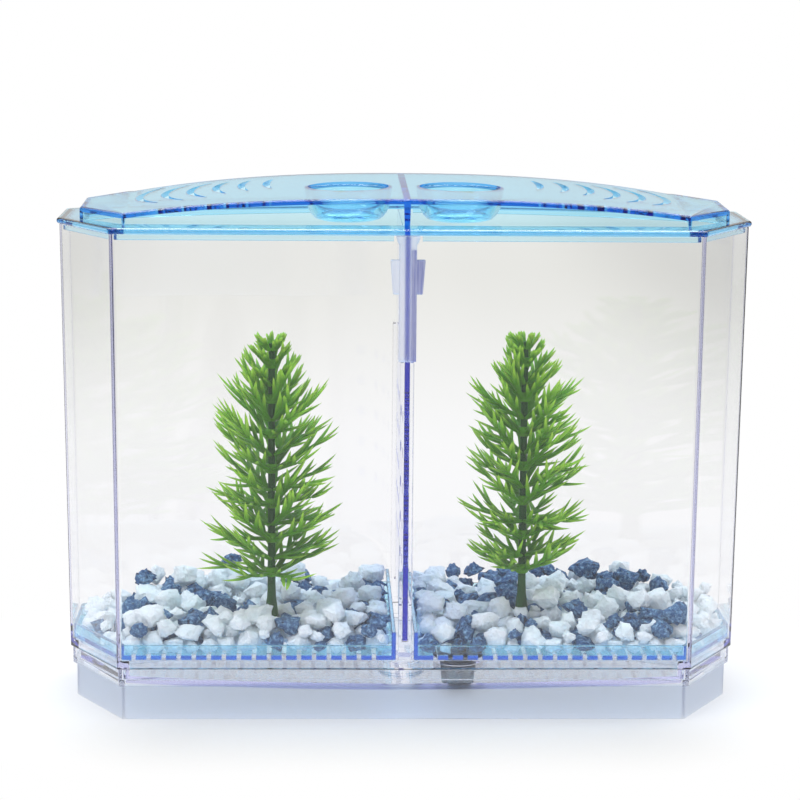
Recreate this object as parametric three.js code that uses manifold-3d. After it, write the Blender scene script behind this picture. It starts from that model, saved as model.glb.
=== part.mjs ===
// Two-chamber acrylic fish tank: tapered clear tank on a stand ring, arched blue lid with
// feeding funnels and vents, perforated divider, two slotted gravel trays, drain plug and plants.
// Millimetres, +Z up, origin under the middle of the stand. +X is the right end, the front faces -Y.
// Inside the file y runs from the lid's front edge backwards; the outer group centres it.

import * as THREE from 'three';
import { mergeVertices } from 'three/addons/utils/BufferGeometryUtils.js';
import Module from 'manifold-3d';

const wasm = await Module();
wasm.setup();

// Plan of the lid flange: straight front, chamfered front corners, short sides, bowed back
const plan = { frontHalf: 104, half: 125, chamferDepth: 37, bowDepth: 40, depth: 112, arcSteps: 8 };

// How far the raised lid tier stands in from the flange, and its own back corner cuts
const tierInset = { front: 14, frontCorner: 4, side: 8.5, chamfer: 3, sideEnd: 10, back: 12 };
const tierBackCut = { width: 13.5, length: 21, arcSteps: 7 };

// Heights of the stand, the tank above it and the ledge that carries the trays
const standHeight = 18.7;
const tankHeight = 155.7;
const ledgeThickness = 2.9;

// Fits between pieces that lift apart, and the overrun of cuts
const seatGap = 0.3;
const slideGap = 0.5;
const cutOver = 3;

// Tank shell, drafted from base to top, with a sagging floor
const tankTopInset = 1.0;
const tankBaseInset = 3.2;
const tankWall = 2.0;
const floor = { drop: 2.9, sag: 3.4, thickness: 2.0, sideMargin: 13, steps: 12 };

// Stand ring under the tank: a collar and a smaller skirt
const collarInset = 4.0;
const skirtInset = 5.4;
const collarHeight = 6.3;
const standWall = 2.0;

// Waste well in the middle of the floor
const well = { x: 0, y: 48, radius: 7.3, wall: 1.5, depth: 8.2, base: 1.6, sides: 20 };

// Drain hole with its boss and raised seat, and the rubber plug
const drain = { x: 21, y: 45, radius: 7.2, bossWall: 2.0, bossDrop: 3.2, seatRise: 0.9, sides: 20 };
const plug = { flangeOver: 2.1, flange: 1.9, edge: 0.95, flare: 1.1, topFit: 0.4, taper: 0.8, length: 11.8 };
const dimple = { radius: 4.6, depth: 1.2, slope: 0.6 };

// Guide rails for the divider on the front and back walls
const rail = { thickness: 1.2, slot: 2.5, reach: 4.2, topDrop: 44.9, stopHeight: 7.1 };

// Divider panel with its water holes, front stile, round thumb head and side lugs
const divider = { thickness: 1.9, topGap: 0.4 };
const holes = { radius: 2.1, sides: 6, columns: 6, rows: 5, sideMargin: 14.4, aboveBottom: 27, belowTop: 66 };
const stile = { half: 3.05, depth: 4.6, headRadius: 4.1, headSteps: 8, headDrop: 0.2 };
const lug = { reach: 6.1, topDrop: 8.5, height: 12, taper: 0.9, depth: 3.2 };

// Lid: flange, raised tier with an arched top that rises to the back, underside lip and rib
const flangeThickness = 2.2;
const lidWall = 2.2;
const lidTopThickness = 2.0;
const lip = { thickness: 1.8, drop: 2.2, notchHalf: 5.0 };
const arch = { edgeRise: 3.7, rise: 5.5, power: 2.6, steps: 14, backSlope: 0.026 };
const lidRib = { topHalf: 1.45, bottomHalf: 0.9 };
const funnel = { x: 20.4, y: 55, topRadius: 14.4, bottomRadius: 8, wall: 1.6, steps: 4, sides: 20 };

// Crescent vents, counted from the lid's end towards the middle
const vent = { count: 6, sideMargin: 18.5, frontMargin: 21, backMargin: 1, pitch: 9.2, steps: 5 };
const ventWidth = { middle: 2.8, tip: 0.9 };
const ventArcRadius = 36;
const ventLengthShares = [1, 1, 0.94, 0.78, 0.68, 0.6];

// Gravel trays
const tray = { wall: 1.5, floor: 1.4, height: 5.2, innerHeight: 10.1, innerFace: 3.2 };
const slot = { width: 1.6, pitch: 5.35, first: 11, rows: 2, bar: 4, rise: 2.2, margin: 1.2 };

// Gravel beds, as one lumpy pile in each tray
const gravel = { bedDepth: 4.2, pitch: 17, radius: 9.6, lift: 1.2, headroom: 14, tilt: 0.5 };
const stoneWidthShares = [0.8, 1.1];
const stoneHeightShares = [0.62, 0.82];
const stonePlaceShares = [0.3, 0.9];

// Plastic plants: a stem with leaf tiers pushed onto it
const plants = {
  left: { seed: 11, x: -48, y: 34, turn: 0.3, spread: 24.6 },
  right: { seed: 12, x: 44, y: 40, turn: 1.1, spread: 22.6 },
};
const stem = { radius: 1.3, height: 107.4, footRadius: 2.7, footHeight: 12, neck: 7, sides: 8 };
const hub = { wall: 0.9, height: 3.4, fit: 0.3, sides: 6 };
const tiers = { count: 7, first: 22.4, topDrop: 8.2, branches: 5 };
const tierTwistShare = 0.37;
const tierReachShares = [0.98, 1, 0.98, 0.96, 0.9, 0.76, 0.44];
const tierRiseShares = [0.24, 0.4, 0.48, 0.56, 0.66, 0.78, 1.0];
const branchReachShares = [0.86, 1];
const twig = { radius: 1.1, midRadius: 0.8 };
const twigMidShare = 0.55;
const twigMidRiseShare = 0.85;
const needle = { radius: 0.55 };
const needleSpreadShare = 0.2;
const needleLengthShare = 0.42;
const needleRiseShare = 0.5;
const needlePlaceShares = [0.38, 0.62];
const thornSides = 3;

// Colours of the real materials
const clearPlastic = { color: 0xeef0fb, roughness: 0.08, metalness: 0, transparent: true, opacity: 0.35 };
const bluePlastic = { color: 0x5aa9ee, roughness: 0.1, metalness: 0, transparent: true, opacity: 0.5 };
const blackRubber = { color: 0x2b2a30, roughness: 0.75, metalness: 0 };
const paleStone = { color: 0xd9dde2, roughness: 0.85, metalness: 0 };
const stemGreen = { color: 0x1f3f17, roughness: 0.55, metalness: 0 };
const leafGreen = { color: 0x4a8f2f, roughness: 0.5, metalness: 0 };

// Levels and the tier's plan that follow from the sizes above
const tankBase = standHeight;
const tankTop = tankBase + tankHeight;
const ledgeTop = tankBase + ledgeThickness;
const floorSide = tankBase - floor.drop;
const floorMiddle = floorSide - floor.sag;
const flangeTop = tankTop + flangeThickness;
const archEdge = flangeTop + arch.edgeRise;
const lidPeak = archEdge + arch.rise + arch.backSlope * plan.depth + cutOver;
const tierPlan = {
  frontHalf: plan.frontHalf - tierInset.frontCorner,
  half: plan.half - tierInset.side,
  front: tierInset.front,
  chamferDepth: plan.chamferDepth - tierInset.chamfer,
  bowDepth: plan.bowDepth + tierInset.sideEnd - tierInset.back,
  backHalf: plan.half - tierInset.side - tierBackCut.width,
  backCornerDepth: plan.depth - plan.bowDepth - tierInset.sideEnd + tierBackCut.length,
  depth: plan.depth - tierInset.back,
  arcSteps: tierBackCut.arcSteps,
};

// Geometry helpers
function toSolid(geometry) {
  const bare = geometry.clone();
  bare.deleteAttribute('normal');
  bare.deleteAttribute('uv');
  const merged = mergeVertices(bare);
  const mesh = new wasm.Mesh({
    numProp: 3,
    vertProperties: new Float32Array(merged.attributes.position.array),
    triVerts: new Uint32Array(merged.index.array),
  });
  return new wasm.Manifold(mesh);
}

function toGeometry(solid) {
  const mesh = solid.getMesh();
  const geometry = new THREE.BufferGeometry();
  geometry.setAttribute('position', new THREE.BufferAttribute(new Float32Array(mesh.vertProperties), 3));
  geometry.setIndex(new THREE.BufferAttribute(new Uint32Array(mesh.triVerts), 1));
  geometry.computeVertexNormals();
  return geometry;
}

function joinAll(solids) {
  return solids.reduce((whole, piece) => whole.add(piece));
}

function lineOffset([x0, y0], [x1, y1], inset) {
  const length = Math.hypot(x1 - x0, y1 - y0);
  const direction = [(x1 - x0) / length, (y1 - y0) / length];
  const normal = [-direction[1], direction[0]];
  return { point: [x0 + normal[0] * inset, y0 + normal[1] * inset], direction };
}

function crossing(a, b) {
  const det = a.direction[0] * b.direction[1] - a.direction[1] * b.direction[0];
  const dx = b.point[0] - a.point[0];
  const dy = b.point[1] - a.point[1];
  const along = (dx * b.direction[1] - dy * b.direction[0]) / det;
  return [a.point[0] + along * a.direction[0], a.point[1] + along * a.direction[1]];
}

function circleCrossing(line, centreY, radius) {
  const [px, py] = [line.point[0], line.point[1] - centreY];
  const toward = px * line.direction[0] + py * line.direction[1];
  const along = -toward + Math.sqrt(toward * toward - (px * px + py * py - radius * radius));
  return [line.point[0] + along * line.direction[0], line.point[1] + along * line.direction[1]];
}

// Closed outline of a plan, moved inwards by the inset, counter-clockwise from the front left corner
function outline(shape, inset) {
  const front = shape.front ?? 0;
  const sideEnd = shape.depth - shape.bowDepth;
  const corners = [[0, front], [shape.frontHalf, front]];
  corners.push([shape.half, shape.chamferDepth], [shape.half, sideEnd]);
  if (shape.backHalf) corners.push([shape.backHalf, shape.backCornerDepth]);
  const last = corners[corners.length - 1];
  const bow = shape.depth - last[1];
  const radius = (last[0] * last[0] + bow * bow) / (2 * bow);
  const centreY = shape.depth - radius;
  const lines = [];
  for (let i = 0; i + 1 < corners.length; i += 1) lines.push(lineOffset(corners[i], corners[i + 1], inset));
  const right = [];
  for (let i = 0; i + 1 < lines.length; i += 1) right.push(crossing(lines[i], lines[i + 1]));
  const arcStart = circleCrossing(lines[lines.length - 1], centreY, radius - inset);
  const startAngle = Math.atan2(arcStart[0], arcStart[1] - centreY);
  for (let i = 0; i < shape.arcSteps; i += 1) {
    const angle = startAngle * (1 - i / shape.arcSteps);
    right.push([Math.sin(angle) * (radius - inset), centreY + Math.cos(angle) * (radius - inset)]);
  }
  const middle = [[0, centreY + radius - inset]];
  const left = right.map(([x, y]) => [-x, y]).reverse();
  return [...right, ...middle, ...left];
}

// Solid between stacked outlines of equal point count, bottom first
function loft(levels) {
  const count = levels[0].points.length;
  const positions = levels.flatMap(({ z, points }) => points.flatMap(([x, y]) => [x, y, z]));
  const index = [];
  for (let level = 0; level + 1 < levels.length; level += 1) {
    for (let i = 0; i < count; i += 1) {
      const a = level * count + i;
      const b = level * count + (i + 1) % count;
      index.push(a, b, b + count, a, b + count, a + count);
    }
  }
  const contour = levels[0].points.map(([x, y]) => new THREE.Vector2(x, y));
  const top = (levels.length - 1) * count;
  for (const [a, b, c] of THREE.ShapeUtils.triangulateShape(contour, [])) {
    index.push(a, c, b);
    index.push(top + a, top + b, top + c);
  }
  const geometry = new THREE.BufferGeometry();
  geometry.setAttribute('position', new THREE.Float32BufferAttribute(positions, 3));
  geometry.setIndex(index);
  return toSolid(geometry);
}

function prism(shape, inset, bottom, top) {
  const points = outline(shape, inset);
  return loft([{ z: bottom, points }, { z: top, points }]);
}

function box(x0, x1, y0, y1, z0, z1) {
  const geometry = new THREE.BoxGeometry(x1 - x0, y1 - y0, z1 - z0);
  geometry.translate((x0 + x1) / 2, (y0 + y1) / 2, (z0 + z1) / 2);
  return toSolid(geometry);
}

// An XZ profile run along Y
function profileRun(points, y0, y1) {
  const shape = new THREE.Shape(points.map(([x, z]) => new THREE.Vector2(x, z)));
  const geometry = new THREE.ExtrudeGeometry(shape, { depth: y1 - y0, bevelEnabled: false });
  geometry.rotateX(Math.PI / 2);
  geometry.translate(0, y1, 0);
  return geometry;
}

function turned(profile, sides, x, y) {
  const points = profile.map(([radius, z]) => new THREE.Vector2(radius, z));
  const geometry = new THREE.LatheGeometry(points, sides);
  geometry.rotateX(Math.PI / 2);
  geometry.translate(x, y, 0);
  return toSolid(geometry);
}

// Tank wall inset at a height, from its draft
function wallInset(z) {
  const share = (z - tankBase) / (tankTop - tankBase);
  return tankBaseInset + (tankTopInset - tankBaseInset) * share;
}

function floorHeight(x) {
  const share = Math.min(1, Math.abs(x) / (plan.half - floor.sideMargin));
  return floorMiddle + floor.sag * share * share;
}

// Everything above the sagging floor line, lowered by the drop
function aboveFloor(drop) {
  const points = [];
  for (let i = 0; i <= floor.steps; i += 1) {
    const x = plan.half * (2 * i / floor.steps - 1);
    points.push([x, floorHeight(x) - drop]);
  }
  points.push([plan.half, tankTop], [-plan.half, tankTop]);
  return toSolid(profileRun(points, -cutOver, plan.depth + cutOver));
}

const panInset = skirtInset + standWall + slideGap;
const railHalf = rail.slot / 2 + rail.thickness;
const railFront = wallInset(ledgeTop) + tankWall + rail.reach;
const railBack = plan.depth - railFront;
const railTop = tankTop - rail.topDrop;
const stopTop = ledgeTop + rail.stopHeight;

function guideRails(shell) {
  const spans = [[-cutOver, railFront], [railBack, plan.depth + cutOver]];
  const ribs = spans.flatMap(([y0, y1]) => [
    box(-railHalf, -rail.slot / 2, y0, y1, tankBase, railTop),
    box(rail.slot / 2, railHalf, y0, y1, tankBase, railTop),
    box(-railHalf, railHalf, y0, y1, tankBase, stopTop),
  ]);
  return joinAll(ribs).intersect(shell);
}

const wellBottom = floorMiddle - well.depth;

function wellCup() {
  const outer = well.radius + well.wall;
  return turned([[0, wellBottom], [well.radius, wellBottom], [outer, wellBottom + well.wall],
    [outer, floorMiddle], [0, floorMiddle]], well.sides, well.x, well.y);
}

function wellBore() {
  const inside = wellBottom + well.base;
  return turned([[0, inside], [well.radius - well.wall, inside], [well.radius, inside + well.wall],
    [well.radius, tankBase], [0, tankBase]], well.sides, well.x, well.y);
}

const drainFloor = floorHeight(drain.x);
const drainSeat = drainFloor + drain.seatRise;

function drainBoss() {
  const outer = drain.radius + drain.bossWall;
  const bottom = drainFloor - floor.thickness - drain.bossDrop;
  return turned([[0, bottom], [outer, bottom], [outer, drainSeat], [0, drainSeat]],
    drain.sides, drain.x, drain.y);
}

function drainBore() {
  return turned([[0, 0], [drain.radius, 0], [drain.radius, tankBase], [0, tankBase]],
    drain.sides, drain.x, drain.y);
}

function tankBody() {
  const shell = loft([
    { z: tankBase, points: outline(plan, tankBaseInset) },
    { z: tankTop, points: outline(plan, tankTopInset) },
  ]);
  const topPast = tankTop + cutOver;
  const cavity = loft([
    { z: ledgeTop, points: outline(plan, wallInset(ledgeTop) + tankWall) },
    { z: topPast, points: outline(plan, wallInset(topPast) + tankWall) },
  ]);
  const pan = prism(plan, panInset, 0, tankBase + slideGap).intersect(aboveFloor(floor.thickness));
  const panCavity = prism(plan, panInset + tankWall, 0, ledgeTop + slideGap).intersect(aboveFloor(0));
  const hollow = shell.add(pan).subtract(cavity).subtract(panCavity);
  return hollow
    .add(guideRails(shell))
    .add(wellCup())
    .add(drainBoss())
    .subtract(wellBore())
    .subtract(drainBore());
}

const collarBottom = standHeight - collarHeight;

function standRing() {
  const collar = prism(plan, collarInset, collarBottom, tankBase);
  const skirt = prism(plan, skirtInset, 0, collarBottom + standWall);
  const bore = prism(plan, collarInset + standWall, collarBottom + standWall, tankBase + cutOver);
  const lowerBore = prism(plan, skirtInset + standWall, -cutOver, tankBase);
  return collar.add(skirt).subtract(bore).subtract(lowerBore);
}

function drainPlug() {
  const top = drainSeat + plug.flange;
  const bottom = drainSeat - plug.length;
  const neck = drain.radius - plug.topFit;
  const rim = drain.radius + plug.flangeOver;
  const profile = [
    [0, bottom], [neck - plug.taper, bottom], [neck, drainSeat], [rim, drainSeat], [rim, top - plug.edge],
    [rim - plug.flare, top], [dimple.radius, top], [dimple.radius - dimple.slope, top - dimple.depth],
    [0, top - dimple.depth],
  ];
  return turned(profile, drain.sides, drain.x, drain.y);
}

// Divider
const panelBottom = stopTop + seatGap;
const panelTop = tankTop - divider.topGap;

function panelEdge(z) {
  return wallInset(z) + tankWall + slideGap;
}

function waterHole(y, z) {
  const points = [];
  for (let i = 0; i < holes.sides; i += 1) {
    const angle = -2 * Math.PI * i / holes.sides;
    points.push(new THREE.Vector2(y + holes.radius * Math.cos(angle), z + holes.radius * Math.sin(angle)));
  }
  return new THREE.Path(points);
}

function dividerPanel() {
  const bottomEdge = panelEdge(panelBottom);
  const topEdge = panelEdge(panelTop);
  const shape = new THREE.Shape();
  shape.moveTo(bottomEdge, panelBottom);
  shape.lineTo(plan.depth - bottomEdge, panelBottom);
  shape.lineTo(plan.depth - topEdge, panelTop);
  shape.lineTo(topEdge, panelTop);
  const firstY = bottomEdge + holes.sideMargin;
  const firstZ = panelBottom + holes.aboveBottom;
  const lastZ = panelTop - holes.belowTop;
  for (let column = 0; column < holes.columns; column += 1) {
    const y = THREE.MathUtils.lerp(firstY, plan.depth - firstY, column / (holes.columns - 1));
    for (let row = 0; row < holes.rows; row += 1) {
      const z = THREE.MathUtils.lerp(firstZ, lastZ, row / (holes.rows - 1));
      shape.holes.push(waterHole(y, z));
    }
  }
  const geometry = new THREE.ExtrudeGeometry(shape, { depth: divider.thickness, bevelEnabled: false });
  geometry.applyMatrix4(new THREE.Matrix4().makeBasis(
    new THREE.Vector3(0, 1, 0), new THREE.Vector3(0, 0, 1), new THREE.Vector3(1, 0, 0)));
  geometry.translate(-divider.thickness / 2, 0, 0);
  return toSolid(geometry);
}

function frontStile() {
  const headTop = panelTop - stile.headDrop;
  const bottom = railTop + seatGap;
  const neck = headTop - Math.sqrt(stile.headRadius ** 2 - stile.half ** 2);
  const points = [[-stile.half, bottom], [stile.half, bottom], [stile.half, neck]];
  const neckAngle = Math.acos(stile.half / stile.headRadius);
  for (let i = 1; i <= stile.headSteps; i += 1) {
    const angle = neckAngle * (1 - i / stile.headSteps);
    points.push([stile.headRadius * Math.cos(angle), headTop - stile.headRadius * Math.sin(angle)]);
  }
  const mirrored = points.slice(2).map(([x, z]) => [-x, z]).reverse();
  const front = panelEdge(bottom);
  return toSolid(profileRun([...points, ...mirrored], front, front + stile.depth));
}

function sideLug(side) {
  const top = panelTop - lug.topDrop;
  const bottom = top - lug.height;
  const points = [[0, top], [0, bottom], [lug.reach - lug.taper, bottom], [lug.reach, top]];
  const placed = points.map(([x, z]) => [side * x, z]);
  const front = panelEdge(railTop) + slideGap;
  return toSolid(profileRun(side > 0 ? placed : placed.reverse(), front, front + lug.depth));
}

function dividerSolid() {
  return joinAll([dividerPanel(), frontStile(), sideLug(1), sideLug(-1)]);
}

// Lid
// Everything under the arched and slightly rising lid top, lowered by the drop
function underArch(drop) {
  const points = [[-plan.half, 0], [plan.half, 0], [plan.half, archEdge - drop]];
  for (let i = 0; i <= arch.steps; i += 1) {
    const across = 1 - 2 * i / arch.steps;
    const height = archEdge + arch.rise * (1 - Math.abs(across) ** arch.power);
    points.push([tierPlan.frontHalf * across, height - drop]);
  }
  points.push([-plan.half, archEdge - drop]);
  const geometry = profileRun(points, -cutOver, plan.depth + cutOver);
  geometry.applyMatrix4(new THREE.Matrix4().makeShear(0, 0, 0, arch.backSlope, 0, 0));
  geometry.translate(0, 0, -arch.backSlope * tierPlan.front);
  return toSolid(geometry);
}

function ventSag(along, halfLength) {
  return ventArcRadius - Math.sqrt(ventArcRadius ** 2 - (along * halfLength) ** 2);
}

function ventCutter(number, side) {
  const apex = tierPlan.half - vent.sideMargin - vent.pitch * number;
  const back = tierPlan.backCornerDepth - vent.backMargin;
  const halfLength = (back - tierPlan.front - vent.frontMargin) * ventLengthShares[number] / 2;
  const middle = back - halfLength;
  const outer = [];
  const inner = [];
  for (let i = 0; i <= vent.steps; i += 1) {
    const along = 2 * i / vent.steps - 1;
    const x = apex - ventSag(along, halfLength);
    const width = THREE.MathUtils.lerp(ventWidth.middle, ventWidth.tip, along * along);
    outer.push([side * x, middle + along * halfLength]);
    inner.push([side * (x - width), middle + along * halfLength]);
  }
  const points = [...outer, ...inner.reverse()];
  if (side < 0) points.reverse();
  return loft([{ z: flangeTop, points }, { z: lidPeak, points }]);
}

// Funnel outline from its outlet up its dished side to the rim, moved outwards by the wall
function funnelProfile(wall) {
  const rimHeight = archEdge + arch.rise;
  const points = [[0, tankTop]];
  for (let i = 0; i <= funnel.steps; i += 1) {
    const share = i / funnel.steps;
    const swell = Math.sqrt(1 - (1 - share) ** 2);
    const radius = THREE.MathUtils.lerp(funnel.bottomRadius, funnel.topRadius, swell);
    points.push([radius + wall, THREE.MathUtils.lerp(tankTop, rimHeight, share)]);
  }
  points.push([funnel.topRadius + wall, lidPeak], [0, lidPeak]);
  return points;
}

function lidLip() {
  const outerInset = tankTopInset + tankWall + slideGap;
  const bottom = tankTop - lip.drop;
  const ring = prism(plan, outerInset, bottom, flangeTop)
    .subtract(prism(plan, outerInset + lip.thickness, bottom - cutOver, flangeTop + cutOver));
  const notch = box(-lip.notchHalf, lip.notchHalf, -cutOver, plan.depth + cutOver, bottom - cutOver, tankTop);
  return ring.subtract(notch);
}

function lidRibSolid(tierBody) {
  const points = [
    [-lidRib.bottomHalf, tankTop], [lidRib.bottomHalf, tankTop],
    [lidRib.topHalf, lidPeak], [-lidRib.topHalf, lidPeak],
  ];
  return toSolid(profileRun(points, tierPlan.front, tierPlan.depth)).intersect(tierBody);
}

function lidSolid() {
  const flange = prism(plan, 0, tankTop, flangeTop);
  const tierBody = prism(tierPlan, 0, tankTop, lidPeak).intersect(underArch(0));
  const tierHollow = prism(tierPlan, lidWall, tankTop - cutOver, lidPeak)
    .intersect(underArch(lidTopThickness));
  let lid = flange.add(tierBody).subtract(tierHollow).add(lidLip()).add(lidRibSolid(tierBody));
  for (const side of [-1, 1]) {
    const cup = turned(funnelProfile(funnel.wall), funnel.sides, side * funnel.x, funnel.y);
    lid = lid.add(cup.intersect(underArch(0)));
  }
  const outletProfile = [
    [0, tankBase], [funnel.bottomRadius, tankBase], [funnel.bottomRadius, flangeTop], [0, flangeTop],
  ];
  for (const side of [-1, 1]) {
    lid = lid.subtract(turned(funnelProfile(0), funnel.sides, side * funnel.x, funnel.y));
    lid = lid.subtract(turned(outletProfile, funnel.sides, side * funnel.x, funnel.y));
    for (let number = 0; number < vent.count; number += 1) lid = lid.subtract(ventCutter(number, side));
  }
  return lid;
}

// Trays and gravel
const trayBottom = ledgeTop + seatGap;
const trayInset = wallInset(ledgeTop) + tankWall + slideGap;
const trayFloorTop = trayBottom + tray.floor;

function sideBlock(side, nearest, bottom, top) {
  const far = plan.half + cutOver;
  return side > 0
    ? box(nearest, far, -cutOver, plan.depth + cutOver, bottom, top)
    : box(-far, -nearest, -cutOver, plan.depth + cutOver, bottom, top);
}

// Slots through the tray floor, which also notch the foot of the front wall
function slotCutters(side) {
  const fieldInset = trayInset + tray.wall + slot.margin;
  const field = prism(plan, fieldInset, trayBottom - cutOver, trayFloorTop + cutOver);
  const frontHalf = plan.frontHalf - trayInset;
  const frontStrip = box(-frontHalf, frontHalf, 0, fieldInset + cutOver,
    trayBottom - cutOver, trayBottom + slot.rise);
  const length = (plan.depth - 2 * trayInset + slot.bar) / slot.rows;
  const count = Math.floor((plan.half - fieldInset - slot.first) / slot.pitch);
  const cuts = [];
  for (let i = 0; i < count; i += 1) {
    const x = side * (slot.first + slot.pitch * i);
    for (let row = 0; row < slot.rows; row += 1) {
      const y0 = row === 0 ? 0 : trayInset + length * row;
      const y1 = trayInset + length * (row + 1) - slot.bar;
      cuts.push(box(x - slot.width / 2, x + slot.width / 2, y0, y1,
        trayBottom - cutOver, trayFloorTop + cutOver));
    }
  }
  return joinAll(cuts).intersect(field.add(frontStrip));
}

function traySolid(side) {
  const top = trayBottom + tray.height;
  const innerTop = trayBottom + tray.innerHeight;
  const body = prism(plan, trayInset, trayBottom, top).intersect(sideBlock(side, tray.innerFace, 0, tankTop));
  const hollow = prism(plan, trayInset + tray.wall, trayFloorTop, innerTop + cutOver)
    .intersect(sideBlock(side, tray.innerFace + tray.wall, 0, tankTop));
  const innerWall = prism(plan, trayInset, trayBottom, innerTop)
    .intersect(sideBlock(side, tray.innerFace, 0, tankTop))
    .subtract(sideBlock(side, tray.innerFace + tray.wall, 0, tankTop));
  return body.subtract(hollow).add(innerWall).subtract(slotCutters(side));
}

// Next draw of the seeded series, placed between two shares
function between([low, high]) {
  return THREE.MathUtils.lerp(low, high, THREE.MathUtils.seededRandom());
}

function stone(x, y, z) {
  const geometry = new THREE.IcosahedronGeometry(gravel.radius, 0);
  geometry.scale(1, between(stoneWidthShares), between(stoneHeightShares));
  geometry.rotateZ(Math.PI * THREE.MathUtils.seededRandom());
  geometry.rotateX(between([-gravel.tilt, gravel.tilt]));
  geometry.translate(x, y, z);
  return toSolid(geometry);
}

function gravelSolid(side, plant) {
  THREE.MathUtils.seededRandom(plant.seed);
  const bottom = trayFloorTop + seatGap;
  const inset = trayInset + tray.wall + slideGap;
  const bedTop = bottom + gravel.bedDepth;
  const half = sideBlock(side, tray.innerFace + tray.wall + slideGap, 0, tankTop);
  const room = prism(plan, inset, bottom, bottom + gravel.headroom).intersect(half);
  const bed = prism(plan, inset, bottom, bedTop).intersect(half);
  const columns = Math.floor((plan.half - inset) / gravel.pitch);
  const rows = Math.floor((plan.depth - 2 * inset) / gravel.pitch);
  const stones = [];
  for (let column = 0; column < columns; column += 1) {
    for (let row = 0; row < rows; row += 1) {
      const x = side * (tray.innerFace + gravel.pitch * (column + between(stonePlaceShares)));
      const y = inset + gravel.pitch * (row + between(stonePlaceShares));
      stones.push(stone(x, y, bedTop + between([0, gravel.lift])));
    }
  }
  const footHole = stem.footRadius + slideGap;
  const hole = turned([[0, 0], [footHole, 0], [footHole, tankTop], [0, tankTop]],
    well.sides, plant.x, plant.y);
  return bed.add(joinAll(stones).intersect(room)).subtract(hole);
}

// Plants
const stemBottom = trayFloorTop + seatGap;
const stemTop = stemBottom + stem.height;

function stemSolid() {
  const footTop = stemBottom + stem.footHeight;
  const profile = [
    [0, stemBottom], [stem.footRadius, stemBottom], [stem.footRadius, footTop],
    [stem.radius, footTop + stem.neck], [stem.radius, stemTop], [0, stemTop + stem.radius],
  ];
  return turned(profile, stem.sides, 0, 0);
}

// Three-sided thorn that tapers through its points to a sharp tip
function thorn(points, radii) {
  const positions = [];
  const index = [0, 2, 1];
  const axis = new THREE.Vector3().subVectors(points[points.length - 1], points[0]).normalize();
  const turn = new THREE.Quaternion().setFromUnitVectors(new THREE.Vector3(0, 0, 1), axis);
  radii.forEach((radius, level) => {
    for (let i = 0; i < thornSides; i += 1) {
      const angle = 2 * Math.PI * i / thornSides;
      const corner = new THREE.Vector3(Math.cos(angle), Math.sin(angle), 0).multiplyScalar(radius);
      positions.push(...corner.applyQuaternion(turn).add(points[level]).toArray());
    }
  });
  const tip = thornSides * radii.length;
  positions.push(...points[points.length - 1].toArray());
  for (let level = 0; level < radii.length; level += 1) {
    for (let i = 0; i < thornSides; i += 1) {
      const a = thornSides * level + i;
      const b = thornSides * level + (i + 1) % thornSides;
      if (level === radii.length - 1) index.push(a, b, tip);
      else index.push(a, b, b + thornSides, a, b + thornSides, a + thornSides);
    }
  }
  const geometry = new THREE.BufferGeometry();
  geometry.setAttribute('position', new THREE.Float32BufferAttribute(positions, 3));
  geometry.setIndex(index);
  return toSolid(geometry);
}

// Height of a twig over its root, which rises faster past its bend
function twigRise(share, reach, rise) {
  const bendRise = twigMidShare * twigMidRiseShare;
  if (share < twigMidShare) return reach * rise * share * twigMidRiseShare;
  return reach * rise * THREE.MathUtils.mapLinear(share, twigMidShare, 1, bendRise, 1);
}

function branch(angle, reach, rise, height) {
  const hubRadius = stem.radius + hub.fit + hub.wall / 2;
  const at = (share, ahead, aside, up) => new THREE.Vector3(hubRadius + share * reach + ahead, aside, up)
    .add(new THREE.Vector3(0, 0, height + twigRise(share, reach, rise)))
    .applyAxisAngle(new THREE.Vector3(0, 0, 1), angle);
  const points = [0, twigMidShare, 1].map((share) => at(share, 0, 0, 0));
  const parts = [thorn(points, [twig.radius, twig.midRadius])];
  const length = reach * needleLengthShare;
  const ahead = length * Math.cos(Math.PI * needleSpreadShare);
  needlePlaceShares.forEach((place, number) => {
    const aside = (number % 2 ? 1 : -1) * length * Math.sin(Math.PI * needleSpreadShare);
    const tip = at(place, ahead, aside, length * needleRiseShare);
    parts.push(thorn([at(place, 0, 0, 0), tip], [needle.radius]));
  });
  return joinAll(parts);
}

function tierSolid(number, plant) {
  THREE.MathUtils.seededRandom(plant.seed + number);
  const first = stemBottom + tiers.first;
  const height = THREE.MathUtils.lerp(first, stemTop - tiers.topDrop, number / (tiers.count - 1));
  const bore = stem.radius + hub.fit;
  const ring = turned([[bore, height], [bore + hub.wall, height], [bore + hub.wall, height + hub.height],
    [bore, height + hub.height], [bore, height]], hub.sides, 0, 0);
  const parts = [ring];
  for (let i = 0; i < tiers.branches; i += 1) {
    const angle = plant.turn + 2 * Math.PI * (i + number * tierTwistShare) / tiers.branches;
    const reach = plant.spread * tierReachShares[number] * between(branchReachShares);
    parts.push(branch(angle, reach, tierRiseShares[number], height + hub.height / 2));
  }
  return joinAll(parts);
}

// Assembly
function part(name, solid, look) {
  const mesh = new THREE.Mesh(toGeometry(solid), new THREE.MeshStandardMaterial(look));
  mesh.name = name;
  return mesh;
}

function plantGroup(name, plant) {
  const group = new THREE.Group();
  group.position.set(plant.x, plant.y, 0);
  group.add(part(`${name}_stem`, stemSolid(), stemGreen));
  for (let number = 0; number < tiers.count; number += 1) {
    group.add(part(`${name}_tier_${number + 1}`, tierSolid(number, plant), leafGreen));
  }
  return group;
}

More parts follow.
